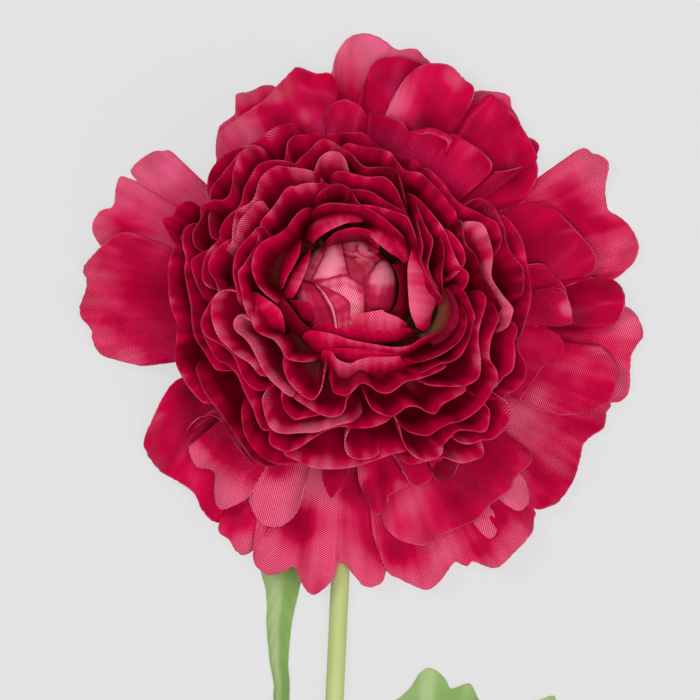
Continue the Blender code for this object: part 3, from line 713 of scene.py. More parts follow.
# %% Rims at the right, from the bottom up
RIGHT = (
    (7.0, ((30.4, -1.9), (28.9, -5.7), (28.6, -9.5), (29.9, -11.8), (30.2, -13.9), (29.1, -15.9),
           (27.6, -18.4), (25.8, -20.2), (23.3, -21.8), (20.5, -22.5), (18.4, -23.6), (16.4, -24.8),
           (13.3, -24.3)), 0.1, 0, 0.5),
    (7.6, ((27.6, -18.7), (28.6, -20), (28.4, -22.8), (27.4, -24.1), (25.1, -23.9), (22.5, -23.8),
           (20.7, -25.3), (19.4, -26.6)), 0.2, 0.1, 0.5),
    (8.2, ((30.9, -17.4), (32.2, -18.4), (32.8, -20.7), (32.2, -22.8), (30.9, -24.3), (29.1, -25.6),
           (27.1, -25.8), (24.8, -26.5), (22.5, -26.1), (21.5, -25.3)), 0.25, 0, 0.5),
    (8.8, ((27.1, -26.4), (27.4, -28.7), (25.1, -29.9), (23, -30.3), (21.2, -29.7), (19.4, -29.2),
           (16, -30), (13, -30.5)), 0.3, 0.1, 0.6),
    (7.6, ((34.2, -4), (33.5, -6.2), (33.7, -8.8), (33.2, -11.8), (31.4, -13.3), (29.9, -15.1)),
     0, 0, 0.4),
    (8.5, ((34, -5), (34.5, -8.2), (35.8, -10.3), (36, -12.3), (35.5, -13.9), (34, -15.6), (32.5, -16.4),
           (31.2, -17.4)), 0, 0, 0.4),
    (6.2, ((27.9, 2.2), (27.6, 0.2), (26.6, -3.1), (26.3, -6.2), (26.7, -9.3), (26.7, -12.3),
           (25.8, -13.9), (23.5, -15), (20, -15.1), (16.9, -14.9)), 0.05, 0.1),
    (5.4, ((23.7, 3.5), (24.6, 1.4), (25.6, -1.1), (25.3, -2.6), (24.8, -4.9), (24, -7), (22.5, -9.3),
           (20.7, -10.3), (19.2, -10.5), (17.4, -11.3), (15.4, -12.3)), -0.35, 0.2),
    (4.6, ((24, -1.1), (23.8, -3.7), (22.5, -6.2), (20, -8.2), (17.4, -9.5), (14.9, -10.3)),
     -0.5, 0.3, 0.6),
    (7.2, ((23.3, 17.3), (23.5, 15), (24, 13), (25.8, 11), (26.6, 9.2), (27.4, 6.9), (29.1, 4.1),
           (30.9, 1)), -0.7, 0),
    (7.5, ((24, 12.7), (25.6, 10.4), (27.1, 7.4), (28.4, 4.1), (29.9, 0.2), (30.8, -2.5)), -0.4, 0),
    (6.0, ((19.2, 13.8), (19.7, 11.2), (19.2, 7.4), (19.4, 2.8)), -0.7, 0),
    (5.6, ((14.3, 20.4), (15.4, 17.6), (16.4, 15.6), (17.4, 13.8), (16.9, 11.2), (16.4, 8.7), (17.2, 6.1),
           (18.7, 3.8)), -0.25, 0.1),
    (5.0, ((14.1, 18.1), (14.9, 15), (15.4, 12.5), (15.1, 9.9), (16.1, 7.4), (17.9, 4.1), (19.2, 2.3)),
     -0.2, 0.1),
    (6.8, ((20.5, 15.8), (22, 14.3), (23.3, 12.5), (23.8, 10.4), (23.5, 8.9), (22, 7)), 0.1, -0.2),
    (6.4, ((13.3, 22.9), (15.4, 21.2), (17.4, 18.9), (19.2, 16.6), (20.2, 14.8), (21.5, 11.2),
           (22.8, 8.7), (24.3, 7.4), (24.4, 5.9), (23.5, 4.1), (22, 3.3), (20.5, 3.8)), -0.2, 0.4),
    (7.8, ((25.6, 17.6), (27.4, 17), (28.4, 15), (29.3, 11.2), (29, 7.9), (29.3, 5.9), (31.2, 3.1),
           (33.2, 0.5), (33.2, -0.6), (32.5, -2.9)), 0.6, 0.7),
    (9.4, ((31.4, 18.9), (32.7, 18.1), (34.2, 16.1), (35.3, 14), (36, 11.2), (36.4, 8.7), (37, 6),
           (37, 2), (36, -2), (35, -5)), -0.15, 0.1),
    (9.0, ((24, 21.2), (26.3, 22.4), (28.1, 21.9), (29.9, 20.4), (30.4, 19.1), (31.7, 16.8), (32, 14.5),
           (32.7, 12.2), (34, 10.4), (35.5, 8.2), (35.5, 4)), -0.4, 0),
    (8.4, ((16.6, 28.1), (18.7, 26.3), (20, 24.7), (21.2, 23), (22.3, 21.7), (25.1, 20.1), (27.6, 18.9),
           (29.9, 17.6), (30.7, 16.3), (31.2, 14.5), (30.7, 12.5)), -0.3, 0.1),
)

# %% Rims at the top, and one more at the bottom
TOP = (
    (7.6, ((0.8, 33.2), (3.4, 32.6), (6.7, 32.1), (9, 31.4), (10.3, 29.6), (12.1, 27.8), (14.9, 27.3),
           (16.9, 25.5), (18.9, 23.5), (20.7, 21.2), (22, 19.4)), -0.3, 0.8),
    (8.6, ((-3, 35.2), (-0.4, 35.4), (3.4, 35.4), (5.9, 33.4), (8, 32.1), (11, 31), (14, 30)), -0.3, 0.1),
    (8.2, ((0.9, -23.6), (0.2, -25), (0, -27), (0.5, -28.4), (1.6, -29.3), (3.5, -29.6), (6, -29)),
     0.3, 0.5, 0.6),
    (6.1, ((-6, 27.5), (-5, 30), (-3.2, 31.4), (-1.2, 31.2), (0.2, 29.4), (0.8, 27)), 0.3, 0.2, 0.4),
    (6.2, ((-1.8, 32.2), (-0.4, 32), (1.3, 30.9), (2.9, 29.1), (4.4, 28.3), (7.2, 28.3), (9.8, 28),
           (10.8, 26.3), (11.5, 23.7), (12.3, 20.1)), -0.7, 0.1, 0.4),
    (5.4, ((-1, 27.5), (2, 26.8), (4.7, 26.3), (7.7, 26.3), (9.8, 24.5), (11, 21.9), (12.1, 19.1)),
     -0.1, 0.1),
    (4.6, ((1.6, 23.8), (4.7, 23.5), (7.7, 21.7), (10.8, 19.9), (12.3, 18.9)), -0.4, 0.3),
    (3.8, ((3.1, 20.7), (5.9, 20.4), (9.2, 19.6), (12.1, 18.4), (13.3, 16.3), (14.1, 13.5)), -0.05, 0.1),
    (1.5, ((-2.6, 14.6), (-1, 15.5), (1.8, 16.1), (4.6, 15.7), (5.6, 14.8)), -0.2, 0.2),
    (3.2, ((-5, 20.5), (-3, 21), (-0.4, 20.9), (3.4, 20.4), (7.2, 18.4), (9.8, 16.1), (11.5, 14.5)),
     -0.15, -0.3),
)
FRILLS = UPPER_LEFT + LEFT + LOWER_LEFT + BOTTOM + RIGHT + TOP
print("frill petals:", len(FRILLS))

# %% [markdown]
# ## Petals that close over the bud
#
# Low on the bud's near side the petals stand so straight that their backs show. Each is
# laid between two lines: its crest, which leans in towards the bud, and its foot, where its
# back is widest. A quarter of an ellipse joins them, and a short wall goes on down out of
# sight. Heights are measured from the middle of the bud.

# %% A closed petal
CLOSED_SPACING = 0.35       # between the grid's columns, in millimetres
CLOSED_ROWS, CLOSED_FRAY = 20, 0.012
CLOSED_EDGE = 0.4
CLOSED_LEVEL = -0.05
CLOSED_BANDS = 0.18
SIDE_SHADE = 0.75         # painted shade: how much darker a petal's two sides are than its middle
CREST_LIGHT = 0.8          # and painted light: how much paler its crest is than its foot, which is left in painted shade
CREST_DROOP = 1.2 * MM      # how far a crest's two ends hang
WALL_ROWS = 7               # the wall that goes on down out of sight
WALL_DROP = 9.0 * MM
WALL_IN = 0.12


def world_line(points, count, up):
    line = smooth_line(points, count) * MM
    return np.stack([seat.x + line[:, 0], seat.y + line[:, 1],
                     np.full(count, bud_middle.z + up * MM)], axis=1)


def closed_petal(crest, foot, crest_up, foot_up, random, fade_and_light, green=0.0):
    """A petal that leans in over the bud. green is how olive its root is."""
    length = max(run_length(crest), run_length(foot))
    cols = int(np.clip(length / CLOSED_SPACING, 24, 80))
    top, low = world_line(crest, cols, crest_up), world_line(foot, cols, foot_up)
    sides = np.linspace(-1.0, 1.0, cols)
    top[:, 2] -= CREST_DROOP * np.abs(sides) ** 3
    hidden = low + (np.array(bud_middle) - low) * np.array([WALL_IN, WALL_IN, 0.0])
    hidden[:, 2] = low[:, 2] - WALL_DROP
    turn = rows_to_rim(CLOSED_ROWS, CLOSED_FRAY)[:, None, None] * math.pi / 2
    over = low + (top - low) * np.concatenate([1 - np.cos(turn), 1 - np.cos(turn), np.sin(turn)], axis=2)
    down = hidden + (low - hidden) * np.linspace(0.0, 1.0, WALL_ROWS)[:-1, None, None]
    places = np.concatenate([down, over])
    steps = np.linalg.norm(np.diff(places, axis=0), axis=2).mean(axis=1)
    deep = np.append(0.0, np.cumsum(steps))[:, None]
    across = sides * length / 2 * MM
    slant = random.uniform(0.3, 1.2)
    level = np.linspace(0.0, 1.0, len(places))[:, None]
    root = green * np.clip(1.9 - 2.6 * level, 0.0, 1.0)
    # Painted shade on the sides and at the foot, painted highlight on the crest.
    fades_and_light = fade_and_light + CLOSED_LEVEL - SIDE_SHADE * np.abs(sides) ** 3 + CREST_LIGHT * (level - 0.75)
    fades_and_light = fades_and_light + CLOSED_BANDS * streaks(across, 5.0 * slant, (9.0, 4.7, 1.9))
    return sheet(places, slanted(across, deep, slant), fade_and_light=fades_and_light, root=root,
                 edge=np.where(level > 0.999, CLOSED_EDGE, 0.0))


# %% The closed petals, side by side
CLOSED = (
    # cup, crest, foot, crest height, foot height, fade with painted light and shade, and where it shows how
    # green the root is
    # near side
    (1, ((-1.9, -1.5), (0.3, -0.9), (4.1, -0.6), (7.2, -0.1), (8, -0.6), (10.5, -1.6), (12, -2.8)),
     ((-1.9, -1.8), (2.1, -3.9), (5.9, -5.1), (9.2, -4.9), (11.3, -4.1), (12.6, -3.1)), 8.6, 3.4, 0.3),
    (1, ((-10.9, 1.9), (-7.6, 1.5), (-5, 0.2), (-3.4, -1.2), (-2.4, -2.4)),
     ((-11, 1.6), (-9.6, -0.6), (-8, -2.3), (-5.2, -3.4), (-2.4, -2.8)), 7.2, 2.0, -0.6),
    (1, ((-6.6, -3.6), (-5, -2.5), (-1.8, -2.3), (3, -2.6), (8, -3), (13, -3.8)),
     ((-6.6, -4.2), (-3, -5.2), (1.8, -6.4), (7, -6.8), (12.4, -5.8), (14, -4.6)), 7.0, 1.6, -0.15),
    (2, ((-8.4, -5.4), (-7.4, -4.3), (-5.3, -4.2), (-2, -4.9), (1, -5.9), (5, -6.7), (9.7, -7.4), (12.8, -7),
         (15.2, -5.6), (19.2, -4.3)),
     ((-8.2, -6.6), (-5.6, -8.8), (-2.4, -8.2), (0, -8), (4.7, -8.6), (9.2, -9), (12.6, -9), (15.2, -7.4),
      (19.2, -5)), 5.6, 0.0, 0.0),
    (3, ((-4, -7.6), (0, -7.6), (4.7, -8), (9.2, -8.4), (12.5, -8.6)),
     ((-3, -9), (1, -10.8), (5, -10.8), (9, -10.4), (12.6, -10)), 4.2, -1.0, -0.3),
    (3, ((-4.8, -9.2), (-4, -7.8), (-2.6, -8.2), (-1.4, -9.8), (1, -10.6), (3, -9.8), (7.4, -9), (11, -9.2),
         (13, -9.6), (13.8, -11)),
     ((-4.9, -10.3), (-3.4, -12.6), (-1.4, -14.2), (1.8, -13.9), (5.8, -13.4), (9.8, -13), (12.8, -12.4),
      (13.8, -11.4)), 3.6, -2.4, 0.1),
    # left
    (2, ((-12.4, 2.6), (-11, 1.0), (-8.6, -2.2), (-6.4, -4.0)),
     ((-14.4, 1.4), (-12.6, -1.8), (-10.4, -4.4), (-8, -6)), 5.6, 0.6, -1.4),
    (3, ((-17.4, 3.4), (-14.4, 1.4), (-12.8, 0), (-12, -2), (-11.8, -4.6)),
     ((-19.1, 3.5), (-18.7, 1), (-17.8, -1), (-16.8, -2.6), (-15.3, -4.2), (-12.2, -5.2)), 4.4, -1.0, -0.1),
    (1, ((-6.8, 11.8), (-6.9, 10), (-7.7, 7.4), (-9, 4.4), (-10.2, 2.2)),
     ((-7, 12), (-9, 9.4), (-10.9, 6.4), (-12.1, 3.4), (-12, 2)), 6.6, 1.4, 0.15),
    (1, ((-8.5, 13.5), (-8.9, 11), (-10, 8.6), (-11.4, 6.2), (-12.2, 4)),
     ((-9, 13.8), (-11, 11.2), (-12.6, 8), (-13.2, 4)), 5.6, 0.6, 0.0),
    # far side
    (2, ((-6.3, 13), (-4.6, 14.5), (-2.6, 15.7), (0.6, 17), (3.4, 17.2)),
     ((-7.8, 13.8), (-7, 16.4), (-4.8, 18), (-1.8, 18.9), (1, 19), (4, 18)), 7.4, 3.4, 0.1),
    (1, ((4.4, 15.2), (6, 13.4), (8.6, 11.3), (10.6, 10), (11.6, 9)),
     ((4.6, 16.1), (7.4, 15.8), (9.9, 14.4), (11.2, 12.6), (12, 9.6)), 8.2, 3.4, 0.05),
    (1, ((9.3, 14.4), (10.4, 12.2), (11.4, 10.4), (12, 8.8)),
     ((9.8, 14.9), (11.2, 14), (12.6, 12.2), (13.2, 9.4)), 7.2, 2.4, -0.05),
    # right
    (1, ((9.2, 8.9), (10.3, 6.8), (10.7, 4), (10.2, 1.2), (8.6, -1.2)),
     ((12.6, 9.6), (13.2, 6), (13.2, 3), (12.8, 0), (11, -2.6)), 4.4, 0.4, -1.4),
    (2, ((13.1, 11.9), (12.5, 9.4), (12.3, 7), (12.5, 2.5), (12.9, -0.6), (14.2, -3.6)),
     ((13.9, 12), (15, 9.8), (16.6, 7.4), (18, 4.8), (18.1, 2), (17.2, -0.8), (16.4, -4), (15, -4.3)),
     6.8, 1.6, 0.5),
    (9, ((12.6, 35.7), (15, 35), (17, 35.2), (19.6, 34.2), (20.5, 33.2), (19.8, 30.8)),
     ((12.6, 36), (15, 36.1), (17.4, 36.4), (20.2, 35.3), (21.5, 33.8), (20.1, 30.6)), -23.3, -24.2, 0.2),
    (3, ((20.6, 4.4), (22.3, 1), (22.4, -2.4), (20.6, -5.4), (17.6, -7.2)),
     ((18, 4.4), (18.4, 1), (17.6, -2), (15.8, -4.2), (14.2, -5.2)), 4.5, -0.5, -0.9, 0.7),
)
print("closed petals:", len(CLOSED))

# %% [markdown]
# ## The skirt
#
# Each broad petal has an outline of its own, scalloped by the die and pulled about since.
# An outline is a short list of points round the petal's rim, as a bearing in degrees from
# +X and a reach in millimetres from the flower's axis. A smooth line runs through them,
# and every column of the petal's grid runs from the hub under the ball out to that line.

# %% Outlines by bearing and reach
def outline(pairs):
    bearings = np.radians([pair[0] for pair in pairs])
    reaches = np.array([pair[1] for pair in pairs]) * MM
    return np.stack([reaches * np.cos(bearings), reaches * np.sin(bearings)], axis=1)


# %% The fall of the skirt
SKIRT_BASE = 15.5 * MM
SKIRT_START = 6.0 * MM
SKIRT_STEP = 0.8 * MM       # from a level of petals up to the next, at the hub
SKIRT_TIP = 1.2 * MM
SKIRT_TIP_STEP = 3.4 * MM   # and at the tips
SKIRT_REACH = 56.0 * MM
STEM_LIFT = 7.0 * MM        # the petals over the stem lie on it


def skirt_height(level, x, y):
    radius = np.hypot(x, y)
    bearing = np.degrees(np.arctan2(y, x))
    away = np.abs((bearing - 270.0 + 180.0) % 360.0 - 180.0)
    over_stem = 1.0 - smoothstep((away - 30.0) / 40.0)
    outness = np.clip((radius - SKIRT_START) / (SKIRT_REACH - SKIRT_START), 0.0, 1.0)
    base = SKIRT_BASE + SKIRT_STEP * level
    tip = SKIRT_TIP + SKIRT_TIP_STEP * level + STEM_LIFT * over_stem
    lean = y * math.tan(HEAD_LEAN) * (1.0 - outness) ** 2
    return base + (tip - base) * smoothstep(outness) - lean


for level in range(3):
    tip_height = skirt_height(level, SKIRT_REACH, 0.0)
    print("level", level, "tips, mm up:", round(float(tip_height) / MM, 1))


# %% The waves of a broad petal
WAVES = (17.0, 0.7), (9.0, 0.28), (5.0, 0.10)       # wavelengths in millimetres, and their shares
CURL = 0.8 * MM             # how far the rim turns up and down as it goes round
CURL_LENGTH = 19.0 * MM
CURL_WIDTH = 6.0 * MM
SHORT_CURL = 0.37           # a shorter curl runs over it, of this length
SHORT_SHARE = 0.6


def cloth_wave(x, y, t, across, middle, number, phase, random):
    """A long wave across a petal, with shorter ones at bearings of their own over it."""
    wave = np.sin(math.pi * number * across + phase + 1.2 * t)
    for wavelength, share in WAVES:
        for _ in range(2):
            way = middle + random.uniform(0.4, 2.7)
            run = (x * math.cos(way) + y * math.sin(way)) / (wavelength * MM)
            wave = wave + share * np.sin(2 * math.pi * run + random.uniform(0.0, 6.28))
    return wave


def rim_curl(along_rim, from_rim, phase, short_phase):
    curl = np.sin(2 * math.pi * along_rim / CURL_LENGTH + phase)
    curl = curl + SHORT_SHARE * np.sin(2 * math.pi * along_rim / (SHORT_CURL * CURL_LENGTH) + short_phase)
    return CURL * curl * np.clip(1.0 - from_rim / CURL_WIDTH, 0.0, 1.0) ** 2


# %% One broad petal
SKIRT_SPACING = 0.55 * MM
SKIRT_ROWS, SKIRT_FRAY = 34, 0.008
SKIRT_HUB = 8.0 * MM
ROOT_SPREAD = 0.6           # how wide a petal is at its root, as a share of its rim's bearings
FRAY_DEPTH = 0.05 * MM
LOBE_LIFT = 0.25            # a lobe that reaches further out stands a little higher
TABLE_GAP = 0.4 * MM
SKIRT_BANDS = 0.12          # how strong the pressed-in bands are
SKIRT_LEVEL = -0.20
RIM_FADE = 0.22             # the rim is paler than the rest
RIM_WIDTH = 7.0 * MM
SKIRT_EDGE = 1.5


def skirt_petal(level, rim, random, fade_and_light, waves=(0.8, 1.6), slant=0.7, weave=1.0, spots=()):
    """A petal out to its rim. Its fade, washed-out dye together with painted light and shade, runs from its
    first side to its last, and waves says how high its long wave is and how many times it turns."""
    length = run_length(rim)
    cols = int(np.clip(length / SKIRT_SPACING, 30, 110))
    rim = smooth_line(rim, cols)
    fray = random.normal(0.0, FRAY_DEPTH, cols)
    rim = rim * (1.0 + fray / np.linalg.norm(rim, axis=1))[:, None]
    reach = np.linalg.norm(rim, axis=1)
    bearing = np.unwrap(np.arctan2(rim[:, 1], rim[:, 0]))
    middle = bearing.mean()
    root_bearing = middle + (bearing - middle) * ROOT_SPREAD
    hub_x, hub_y = SKIRT_HUB * np.cos(root_bearing), SKIRT_HUB * np.sin(root_bearing)
    t = rows_to_rim(SKIRT_ROWS, SKIRT_FRAY)[:, None]
    across = np.linspace(-1.0, 1.0, cols)
    x = hub_x + (rim[:, 0] - hub_x) * t
    y = hub_y + (rim[:, 1] - hub_y) * t
    from_rim = (1.0 - t) * reach
    along_rim = across * length / 2
    phase = random.rand(4) * 2 * math.pi
    size, number = waves
    wave = cloth_wave(x, y, t, across, middle, number, phase[0], random)
    lobes = reach - np.polyval(np.polyfit(across, reach, 2), across)
    height = skirt_height(level, x, y) + size * MM * wave * t ** 2 + LOBE_LIFT * lobes * t ** 8
    height = height + rim_curl(along_rim, from_rim, phase[1], phase[2])
    places = np.stack([seat.x + x, seat.y + y, np.maximum(height, TABLE_GAP)], axis=-1)
    fades_and_light = between(*fade_and_light, 0.5 + 0.5 * across) + SKIRT_LEVEL
    fades_and_light = fades_and_light + RIM_FADE * np.clip(1.0 - from_rim / RIM_WIDTH, 0.0, 1.0) ** 1.5
    fades_and_light = fades_and_light + SKIRT_BANDS * streaks(along_rim, phase[3], (13.0, 6.7, 3.1)) * t
    # Spots of washed-out dye and of painted light and shade.
    for spot_x, spot_y, spot_size, amount in spots:
        away = np.hypot(x - spot_x * MM, y - spot_y * MM) / (spot_size * MM)
        fades_and_light = fades_and_light + amount * np.exp(-away ** 2)
    edge = np.where(t > 0.999, SKIRT_EDGE, 0.0)
    return sheet(places, slanted(x, y, slant), fade_and_light=fades_and_light, edge=edge, weave=weave)


# %% The back row of petals
# Each number has a level, an outline, and a fade with painted light and shade from its first side to its
# last.
BACK_ROW = {
    1: (0, ((141.1, 35.1), (138.3, 43.9), (137.6, 47.4), (138.8, 48.6), (141.0, 50.3), (146.7, 51.5),
            (148.2, 49.1), (149.0, 52.4), (151.7, 52.3), (155.8, 51.1), (157.8, 53.0), (160.7, 53.6),
            (163.0, 52.9), (165.6, 50.3), (168.0, 44.0)), (0.55, 0.35)),
    2: (0, ((131.1, 39.3), (128.5, 41.7), (124.2, 44.7), (119.6, 45.1), (117.8, 47.2), (116.5, 48.6),
            (113.6, 47.9), (110.4, 48.1), (107.6, 47.2), (104.0, 44.0)), (0.5, 0.4)),
    3: (0, ((93.2, 47.9), (91.8, 51.6), (90.1, 54.0), (87.6, 55.6), (85.1, 55.8), (82.1, 55.0),
            (78.6, 53.5), (74.9, 54.4), (72.8, 53.4), (70.7, 52.5), (68.0, 49.0)), (0.6, 0.35)),
    4: (0, ((62.0, 47.0), (59.4, 51.0), (55.8, 53.1), (52.5, 54.2), (50.7, 52.8), (47.3, 51.8), (45.0, 50.1),
            (42.3, 51.1), (40.1, 51.1), (38.7, 49.2), (35.2, 47.5), (32.8, 44.3), (31.3, 42.1)), (0.15, 0.2)),
    5: (0, ((31.9, 42.4), (33.3, 47.9), (34.5, 55.1), (34.1, 58.1), (32.5, 58.8), (30.9, 60.2), (28.9, 60.5),
            (27.0, 59.1), (24.7, 57.6), (20.9, 56.7), (18.5, 58.6), (15.6, 60.0), (12.4, 60.4), (9.6, 59.0),
            (7.8, 56.6), (6.4, 54.2), (5.0, 50.0)), (0.3, 0.0)),
    6: (0, ((-21.0, 52.0), (-18.8, 57.6), (-17.5, 58.9), (-15.4, 59.3), (-10.0, 58.3), (-7.7, 58.7),
            (-5.2, 60.0), (-3.3, 59.8), (-0.8, 58.4), (0.8, 56.2), (2.0, 50.0)), (0.2, 0.1)),
    7: (0, ((-48.0, 50.0), (-46.2, 55.3), (-43.7, 56.9), (-41.7, 57.6), (-36.5, 57.2), (-32.4, 55.9),
            (-28.7, 55.0), (-24.4, 57.1), (-21.6, 56.5), (-19.1, 56.5), (-16.0, 52.0)), (0, 0.1)),
    8: (0, ((-83.0, 45.0), (-81.0, 52.6), (-78.5, 55.0), (-75.7, 57.2), (-73.7, 58.4), (-71.3, 57.9),
            (-68.5, 56.2), (-66.5, 55.1), (-64.5, 56.9), (-63.1, 56.5), (-61.2, 58.5), (-59.2, 60.0),
            (-54.8, 59.2), (-50.1, 58.3), (-47.9, 56.5), (-46.5, 55.2), (-45.5, 48.0)), (0.35, 0.25)),
    9: (0, ((-113.0, 45.0), (-110.3, 53.0), (-107.2, 55.2), (-104.9, 54.8), (-102.9, 53.6), (-101.2, 52.5),
            (-98.3, 56.2), (-96.0, 57.3), (-92.7, 54.1), (-91.0, 50.5), (-87.3, 54.1), (-85.8, 55.6),
            (-82.6, 55.3), (-80.8, 52.2), (-79.5, 46.0)), (0.35, 0.1)),
    10: (0, ((-122.0, 44.0), (-120.1, 50.6), (-116.9, 51.5), (-114.3, 53.0), (-112.4, 53.1), (-110.2, 50.2),
             (-108.0, 44.0)), (0.3, 0.3)),
    11: (0, ((-157.5, 34.0), (-156.9, 37.7), (-153.2, 41.7), (-147.5, 47.7), (-144.5, 49.0), (-139.4, 49.2),
             (-134.8, 48.1), (-129.8, 47.5), (-125.4, 49.3), (-121.0, 49.7), (-117.0, 46.0)), (0, 0)),
}

# %% The petals over them
OVER_ROW = {
    12: (1, ((163.0, 36.0), (160.0, 44.0), (162.1, 48.5), (170.1, 53.0), (173.4, 52.2), (175.2, 52.2),
             (179.4, 53.2), (181.5, 53.0), (184.4, 51.1), (186.9, 51.0), (190.5, 49.5), (193.8, 44.6),
             (195.5, 41.6), (197.1, 35.1)), (0.3, -0.1)),
    13: (1, ((131.0, 36.5), (129.8, 40.0), (127.0, 42.6), (124.1, 43.7), (119.0, 44.2), (113.5, 44.6),
             (110.0, 45.6), (106.1, 47.4), (102.4, 49.3), (100.9, 49.7), (98.3, 48.4), (96.5, 47.7),
             (93.9, 47.7), (92.5, 46.4), (91.6, 43.9)), (0.5, 0.0)),
    14: (1, ((87.0, 40.0), (85.1, 45.4), (83.7, 49.5), (81.2, 51.3), (77.9, 52.2), (75.1, 52.2),
             (72.2, 51.6), (69.0, 48.0)), (-0.1, 0.1)),
    15: (1, ((64.1, 40.3), (63.0, 44.2), (59.7, 48.4), (56.7, 51.7), (54.7, 52.3), (48.0, 51.5),
             (41.0, 50.0), (38.2, 48.9), (40.0, 44.0), (42.8, 40.8)), (-0.15, -0.05)),
    16: (1, ((31.0, 36.7), (31.5, 41.1), (30.4, 43.6), (28.1, 46.0), (23.6, 47.5), (19.2, 48.9),
             (15.1, 50.6), (11.9, 51.5), (9.7, 50.9), (7.7, 49.4), (6.0, 44.0)), (-0.2, -0.15)),
    17: (1, ((-6.0, 48.0), (-3.0, 54.0), (0.0, 55.9), (2.0, 56.2), (4.0, 56.0), (6.2, 54.5), (7.1, 52.1),
             (7.6, 49.8)), (-0.25, -0.25)),
    18: (1, ((-26.7, 39.3), (-27.2, 42.9), (-26.3, 47.3), (-23.8, 51.6), (-20.4, 54.8), (-18.3, 56.4),
             (-12.0, 56.0), (-8.0, 52.0)), (0.3, 0)),
    19: (1, ((-76.9, 38.8), (-79.7, 41.5), (-79.3, 44.4), (-76.8, 47.1), (-73.8, 48.7), (-71.1, 49.7),
             (-67.7, 49.0), (-58.4, 49.5), (-53.7, 48.6), (-47.6, 48.9), (-45.0, 47.8), (-40.5, 48.2),
             (-38.1, 47.5), (-37.4, 44.6), (-39.5, 40.4), (-44.5, 37.8)), (0.3, -0.25)),
    20: (1, ((-117.3, 42.3), (-113.3, 45.1), (-110.3, 46.0), (-107.0, 45.3), (-104.5, 43.3), (-103.0, 40.0),
             (-103.3, 35.6)), (0.65, 0.8)),
    21: (1, ((-139.0, 41.4), (-137.1, 42.3), (-133.3, 43.2), (-128.9, 41.7), (-125.4, 45.1), (-121.9, 46.9),
             (-117.6, 42.6), (-116.0, 38.0)), (0.2, 0.4)),
}

# %% The small petals next to the ball
INNER_ROW = {
    22: (2, ((78.2, 39.8), (77.4, 43.1), (75.3, 48.0), (73.0, 51.0), (69.9, 52.8), (66.4, 53.3),
             (62.8, 52.1), (59.4, 51.0), (58.0, 44.0)), (0.4, -0.1)),
    23: (2, ((96.4, 39.2), (94.5, 41.0), (90.5, 42.1), (85.9, 41.0), (82.9, 39.0), (81.4, 39.9),
             (77.7, 39.5), (74.0, 39.5), (71.6, 38.6), (70.0, 37.3)), (-0.1, 0)),
    24: (2, ((-141.2, 41.4), (-143.1, 39.0), (-143.5, 36.2), (-141.2, 33.9), (-136.8, 33.3), (-129.7, 34.6),
             (-121.9, 35.8)), (-0.5, -0.5)),
    25: (2, ((-85.3, 31.4), (-84.8, 35.6), (-81.6, 41.2), (-78.6, 40.5), (-76.7, 38.2), (-70.5, 37.1),
             (-69.5, 36.4), (-70.6, 34.1)), (0, 0)),
    26: (2, ((-2.0, 40.0), (0.8, 45.0), (2.6, 44.6), (5.8, 44.3), (9.0, 42.7), (13.1, 40.7),
             (14.0, 36.0)), (0, 0)),
    27: (2, ((-26.7, 39.3), (-20.0, 40.4), (-15.7, 41.4), (-13.3, 43.9), (-10.9, 44.6), (-8.8, 44.3),
             (-6.4, 43.0), (-4.8, 40.3), (-0.9, 39.0)), (0, 0)),
}
SKIRT = {**BACK_ROW, **OVER_ROW, **INNER_ROW}
print("skirt petals:", len(BACK_ROW), "+", len(OVER_ROW), "+", len(INNER_ROW))

# %% [markdown]
# ## How each petal's cloth lies
#
# The skirt's petals were cut from the satin at any angle, and the dye took unevenly, so each has ribs that
# run their own way and washed-out places of its own. The ribs show well where a petal lies flat to the light
# and hardly at all where it is turned or worn, and their pale tops and dark grooves are painted highlight and
# shade. An image could be painted for that, but a few numbers a petal say the same and are easier to change:
# how strongly the ribs show, the bearing that they follow each other along, and a handful of soft spots,
# which hold washed-out dye and painted light and shade.

# %% The ribs' strength and bearing
WEAVE = {1: (0.25, 100), 2: (0.25, 110), 3: (0.25, 75), 4: (0.35, 15), 5: (1.5, 132), 6: (1.0, 24),
         7: (1.4, 140), 8: (1.5, 45), 9: (1.7, 123), 10: (1.1, 65), 11: (0.35, 150), 12: (1.4, 124),
         13: (0.3, 100), 14: (0.25, 130), 15: (0.6, 15), 16: (0.15, 40), 17: (0.25, 165), 18: (1.2, 22),
         19: (1.1, 131), 20: (1.4, 166), 21: (1.6, 131), 22: (0.5, 130), 23: (0.4, 50), 24: (0.15, 175),
         25: (0.2, 115), 26: (0.8, 30), 27: (0.8, 160)}
print("petals with ribs that show well:", sum(strength >= 1.0 for strength, _ in WEAVE.values()))

